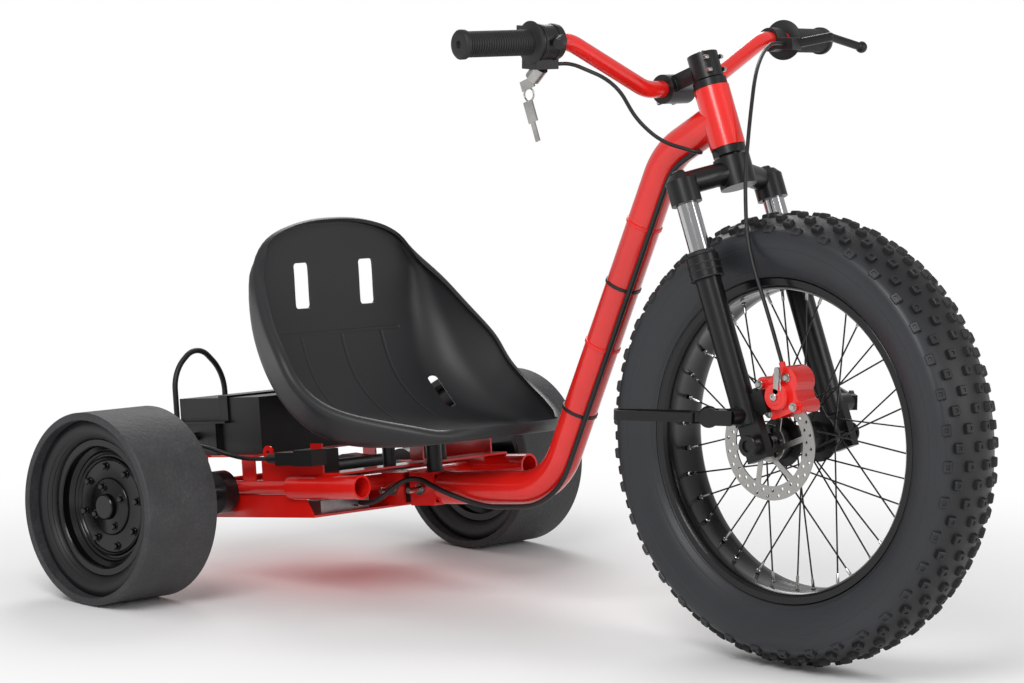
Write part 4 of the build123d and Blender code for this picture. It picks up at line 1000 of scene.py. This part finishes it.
def seat_shell_shape(rings, around, lip):
    """The bucket as rings about its middle: out from the centre to the rim by seat_point, then over a lip whose
    arc turns from the wall's own way to its outer side."""
    angle = np.linspace(0, 2 * np.pi, around, endpoint=False)
    flat = np.stack([np.cos(angle), np.sin(angle)])
    rim = flat / np.maximum(np.abs(flat[0]), np.abs(flat[1])) ** 0.999
    share = np.linspace(0, 1, rings)[:, None]
    rounded = 1 - 0.16 * (rim[0] * rim[1]) ** 4
    along = 0.5 + 0.5 * rim[0] * share * rounded
    over = rim[1] * share * rounded
    points = seat_point(np.broadcast_to(along, over.shape), over)
    edge = points[-1]
    for _ in range(10):
        edge = (np.roll(edge, 1, 0) + 2 * edge + np.roll(edge, -1, 0)) / 4
    points[-1] = edge
    points[-2] = (points[-3] + edge) / 2 * 0.5 + points[-2] * 0.5
    out = unit(points[-1] - points[-4])
    round_way = unit(np.roll(edge, -1, 0) - np.roll(edge, 1, 0))
    side = unit(np.cross(out, round_way))
    turn = np.linspace(0, 2.4, 9)[1:, None, None]
    arcs = edge + lip / 1000 * (np.sin(turn) * out + (1 - np.cos(turn)) * side)
    return np.concatenate([points, arcs])


def seat_slots():
    """The shapes that cut the seat: two upright slots in the back and one slanted slot through each side."""
    shapes = []
    for left in (-0.063, 0.063):
        shapes.append(slab(rounded_outline(30, 64, 5), (-0.545, left, 0.417), LEFT, UP, 120))
    for side in (-1, 1):
        wall_way = unit(np.array((-0.45, side * 0.72, -0.52)))
        run = unit(np.array((-0.72, 0.0, 0.69)))
        run = unit(run - wall_way * (run @ wall_way))
        middle = np.array((-0.3945, side * 0.128, 0.268)) - wall_way * 0.05
        shapes.append(slab(rounded_outline(70, 13, 6.4), middle, run, np.cross(wall_way, run), 100))
    return shapes


class TRIKE_OT_seat(bpy.types.Operator):
    """Make the bucket seat with its rolled lip, slots and bolts"""

    bl_idname = "trike.seat"
    bl_label = "Seat"

    def execute(self, context):
        around = 220
        rings = seat_shell_shape(46, around, context.scene.trike_sizes.seat_lip)
        points, faces = grid(rings[1:], False, True)
        points = np.concatenate([points, rings[:1, 0]])
        faces += [[(number + 1) % around, number, len(points) - 1] for number in range(around)]
        seat = joined("seat_dressed", [(points, faces)])
        wall = seat.modifiers.new("wall", "SOLIDIFY")
        wall.thickness = 0.0048
        wall.use_even_offset = False
        tool = joined("seat_slots", seat_slots())
        context.scene.collection.objects.link(tool)
        context.scene.collection.objects.link(seat)
        cut = seat.modifiers.new("slots", "BOOLEAN")
        cut.object = tool
        cut.solver = "EXACT"
        context.view_layer.update()
        solid = bpy.data.meshes.new_from_object(seat.evaluated_get(context.evaluated_depsgraph_get()))
        bpy.data.objects.remove(seat)
        bpy.data.objects.remove(tool)
        solid.name = "seat_dressed"
        dress(bpy.data.objects.new("seat_dressed", solid), "chassis", "seat_plastic", ["seat"], sharp=38)
        bolt = [(0, 0), (0, 4.2), (0.8, 5.0), (1.4, 4.4), (1.4, 0)]
        bolts = [turned(bolt, np.array((ahead, 0.0, 0.2222)), UP, 24) for ahead in (-0.2805, -0.2655)]
        piece("seat_bolts", bolts, "chassis", "black_frame")
        return {"FINISHED"}


# Profiles of (outwards, out from the axle) in millimetres, the same for both rear wheels
REAR_TYRE = [
    (24, 86.3), (24, 97), (36, 99), (43, 106), (43, 113), (41, 115.2), (-41, 115.2), (-43, 113),
    (-43, 106), (-36, 99), (-24, 97), (-24, 86.3), (-30.7, 86.3), (-30.7, 93.5), (-37, 94.6),
    (-43, 98.5), (-46.6, 104), (-48, 110), (-47, 115.5), (-44, 120.2), (44, 120.2), (47, 115.5),
    (48, 110), (46.6, 104), (44.6, 101.5), (43.8, 102), (42, 98.7), (40, 97), (39, 97.2), (37, 94.6),
    (30.7, 93.5), (30.7, 86.3),
]
REAR_RIM = [
    (-34, 92.2), (-33.2, 93), (-31.8, 93), (-31, 92.2), (-31, 86), (-20, 86), (-15, 80), (15, 80),
    (20, 86), (31, 86), (31, 92.2), (31.8, 93), (33.2, 93), (34, 92.2), (34, 84), (32.5, 82.5),
    (21.5, 82.5), (16.5, 76.5), (-16.5, 76.5), (-21.5, 82.5), (-34, 82.5),
]
REAR_DISC = [
    (30, 0), (30, 15.5), (28.5, 17), (21, 17.6), (20.4, 18.6), (20.4, 37), (19.4, 38.5), (16.6, 39.4),
    (16, 41), (16, 62), (18.2, 63.2), (19.2, 65.2), (18.2, 67.2), (15.6, 68.4), (15.4, 70.4),
    (17, 71.8), (17.8, 73.4), (17, 75), (16.5, 77.6), (12, 78), (12, 21), (-24, 21), (-24, 10.05),
    (26, 10.05), (26, 0),
]


class TRIKE_OT_rear_wheels(bpy.types.Operator):
    """Make the slick sleeves, the rear tyres and rims with their rings and bolts"""

    bl_idname = "trike.rear_wheels"
    bl_label = "Rear wheels"

    def execute(self, context):
        edge = context.scene.trike_sizes.sleeve_edge
        sleeves, tyres, rims, bolts = [], [], [], []
        for side in (-1, 1):
            centre = REAR_AXLE + LEFT * side * 0.365
            out = side * LEFT
            half, inner, outer = 61, 120.6, 131.0
            sleeves.append(turned([
                (-half, inner + 1), (-half, outer - edge), (-half + edge, outer), (half - edge, outer),
                (half, outer - edge), (half, inner + 1), (half - 1, inner), (1 - half, inner),
            ], centre, out, 160))
            tyres.append(turned(REAR_TYRE, centre, out, 128))
            rims.append(turned(REAR_RIM, centre, out, 128))
            rims.append(turned(REAR_DISC, centre, out, 128))
            for count, radius, along, size in ((8, 55, 16, 4.6), (4, 29, 20, 4.4)):
                for number in range(count):
                    angle = 2 * np.pi * (number + 0.3) / count
                    place = about_axle(centre, radius, angle, side * along)
                    bolts += hex_bolt(place, out, size, 4.2, size + 1.6)
        piece("rear_sleeves_dressed", sleeves, "rear_axle", "sleeve_plastic", ["rear_sleeves"])
        piece("rear_tyres_dressed", tyres, "rear_axle", "rear_rubber", ["rear_tyres"], sharp=50)
        piece("rear_rims_dressed", rims, "rear_axle", "wheel_black", ["rear_rims"], sharp=40)
        piece("rear_rim_bolts", bolts, "rear_axle", "wheel_black")
        return {"FINISHED"}


class TRIKE_OT_cables(bpy.types.Operator):
    """Smooth the frame's tubes and the cords, leave the throttle cable as a smoothed copy without a body, and
    add ties and clips
    """

    bl_idname = "trike.cables"
    bl_label = "Cables"

    def execute(self, context):
        for node in ("loom", "battery_lead", "charge_lead"):
            smooth_copy(node, "chassis", "cord_black")
        smooth_copy("brake_cable", "steering", "cord_black")
        for node in ("main_tube", "head_tube", "side_rails"):
            smooth_copy(node, "chassis", "red_frame")
        cable = smooth_copy("throttle_cable", None, "cord_black")
        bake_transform(cable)

        low = chassis(467, 0, -11)
        high = steer(-99.5, 0, 24)
        tube = 23
        ring = [(-2.4, tube - 0.3), (-2.0, tube + 1.5), (2.0, tube + 1.5), (2.4, tube - 0.3)]
        for name, finish, shares in (("cable_ties", "dark_plastic", (0.24, 0.62)),
                                     ("cable_clips", "clip_red", (0.44, 0.80))):
            rings = [turned(ring, low + (high - low) * share, high - low, 56) for share in shares]
            piece(name, rings, "chassis", finish)
        return {"FINISHED"}


class TRIKE_PT_panel(bpy.types.Panel):
    """Lists the trike's pieces"""

    bl_label = "Trike"
    bl_idname = "TRIKE_PT_panel"
    bl_space_type = "VIEW_3D"
    bl_region_type = "UI"
    bl_category = "Trike"

    def draw(self, context):
        column = self.layout.column()
        for group in (context.scene.trike_finish, context.scene.trike_sizes):
            for name in group.__annotations__:
                column.prop(group, name)
        for operator in OPERATORS:
            column.operator(operator.bl_idname)


OPERATORS = (
    TRIKE_OT_stage,
    TRIKE_OT_frame_finish,
    TRIKE_OT_front_tyre,
    TRIKE_OT_front_wheel,
    TRIKE_OT_fork,
    TRIKE_OT_caliper,
    TRIKE_OT_controls,
    TRIKE_OT_seat,
    TRIKE_OT_rear_wheels,
    TRIKE_OT_cables,
)
CLASSES = (TrikeFinish, TrikeSizes, *OPERATORS, TRIKE_PT_panel)


def register():
    """Add the classes and the scene's settings."""
    for part in CLASSES:
        bpy.utils.register_class(part)
    bpy.types.Scene.trike_finish = bpy.props.PointerProperty(type=TrikeFinish)
    bpy.types.Scene.trike_sizes = bpy.props.PointerProperty(type=TrikeSizes)


def unregister():
    """Take the classes and the settings away."""
    del bpy.types.Scene.trike_sizes
    del bpy.types.Scene.trike_finish
    for part in reversed(CLASSES):
        bpy.utils.unregister_class(part)


def main():
    """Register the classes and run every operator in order."""
    register()
    for operator in OPERATORS:
        group, name = operator.bl_idname.split(".")
        if "FINISHED" not in getattr(getattr(bpy.ops, group), name)():
            raise RuntimeError(operator.bl_label + " did not finish")


if __name__ == "__main__":
    main()
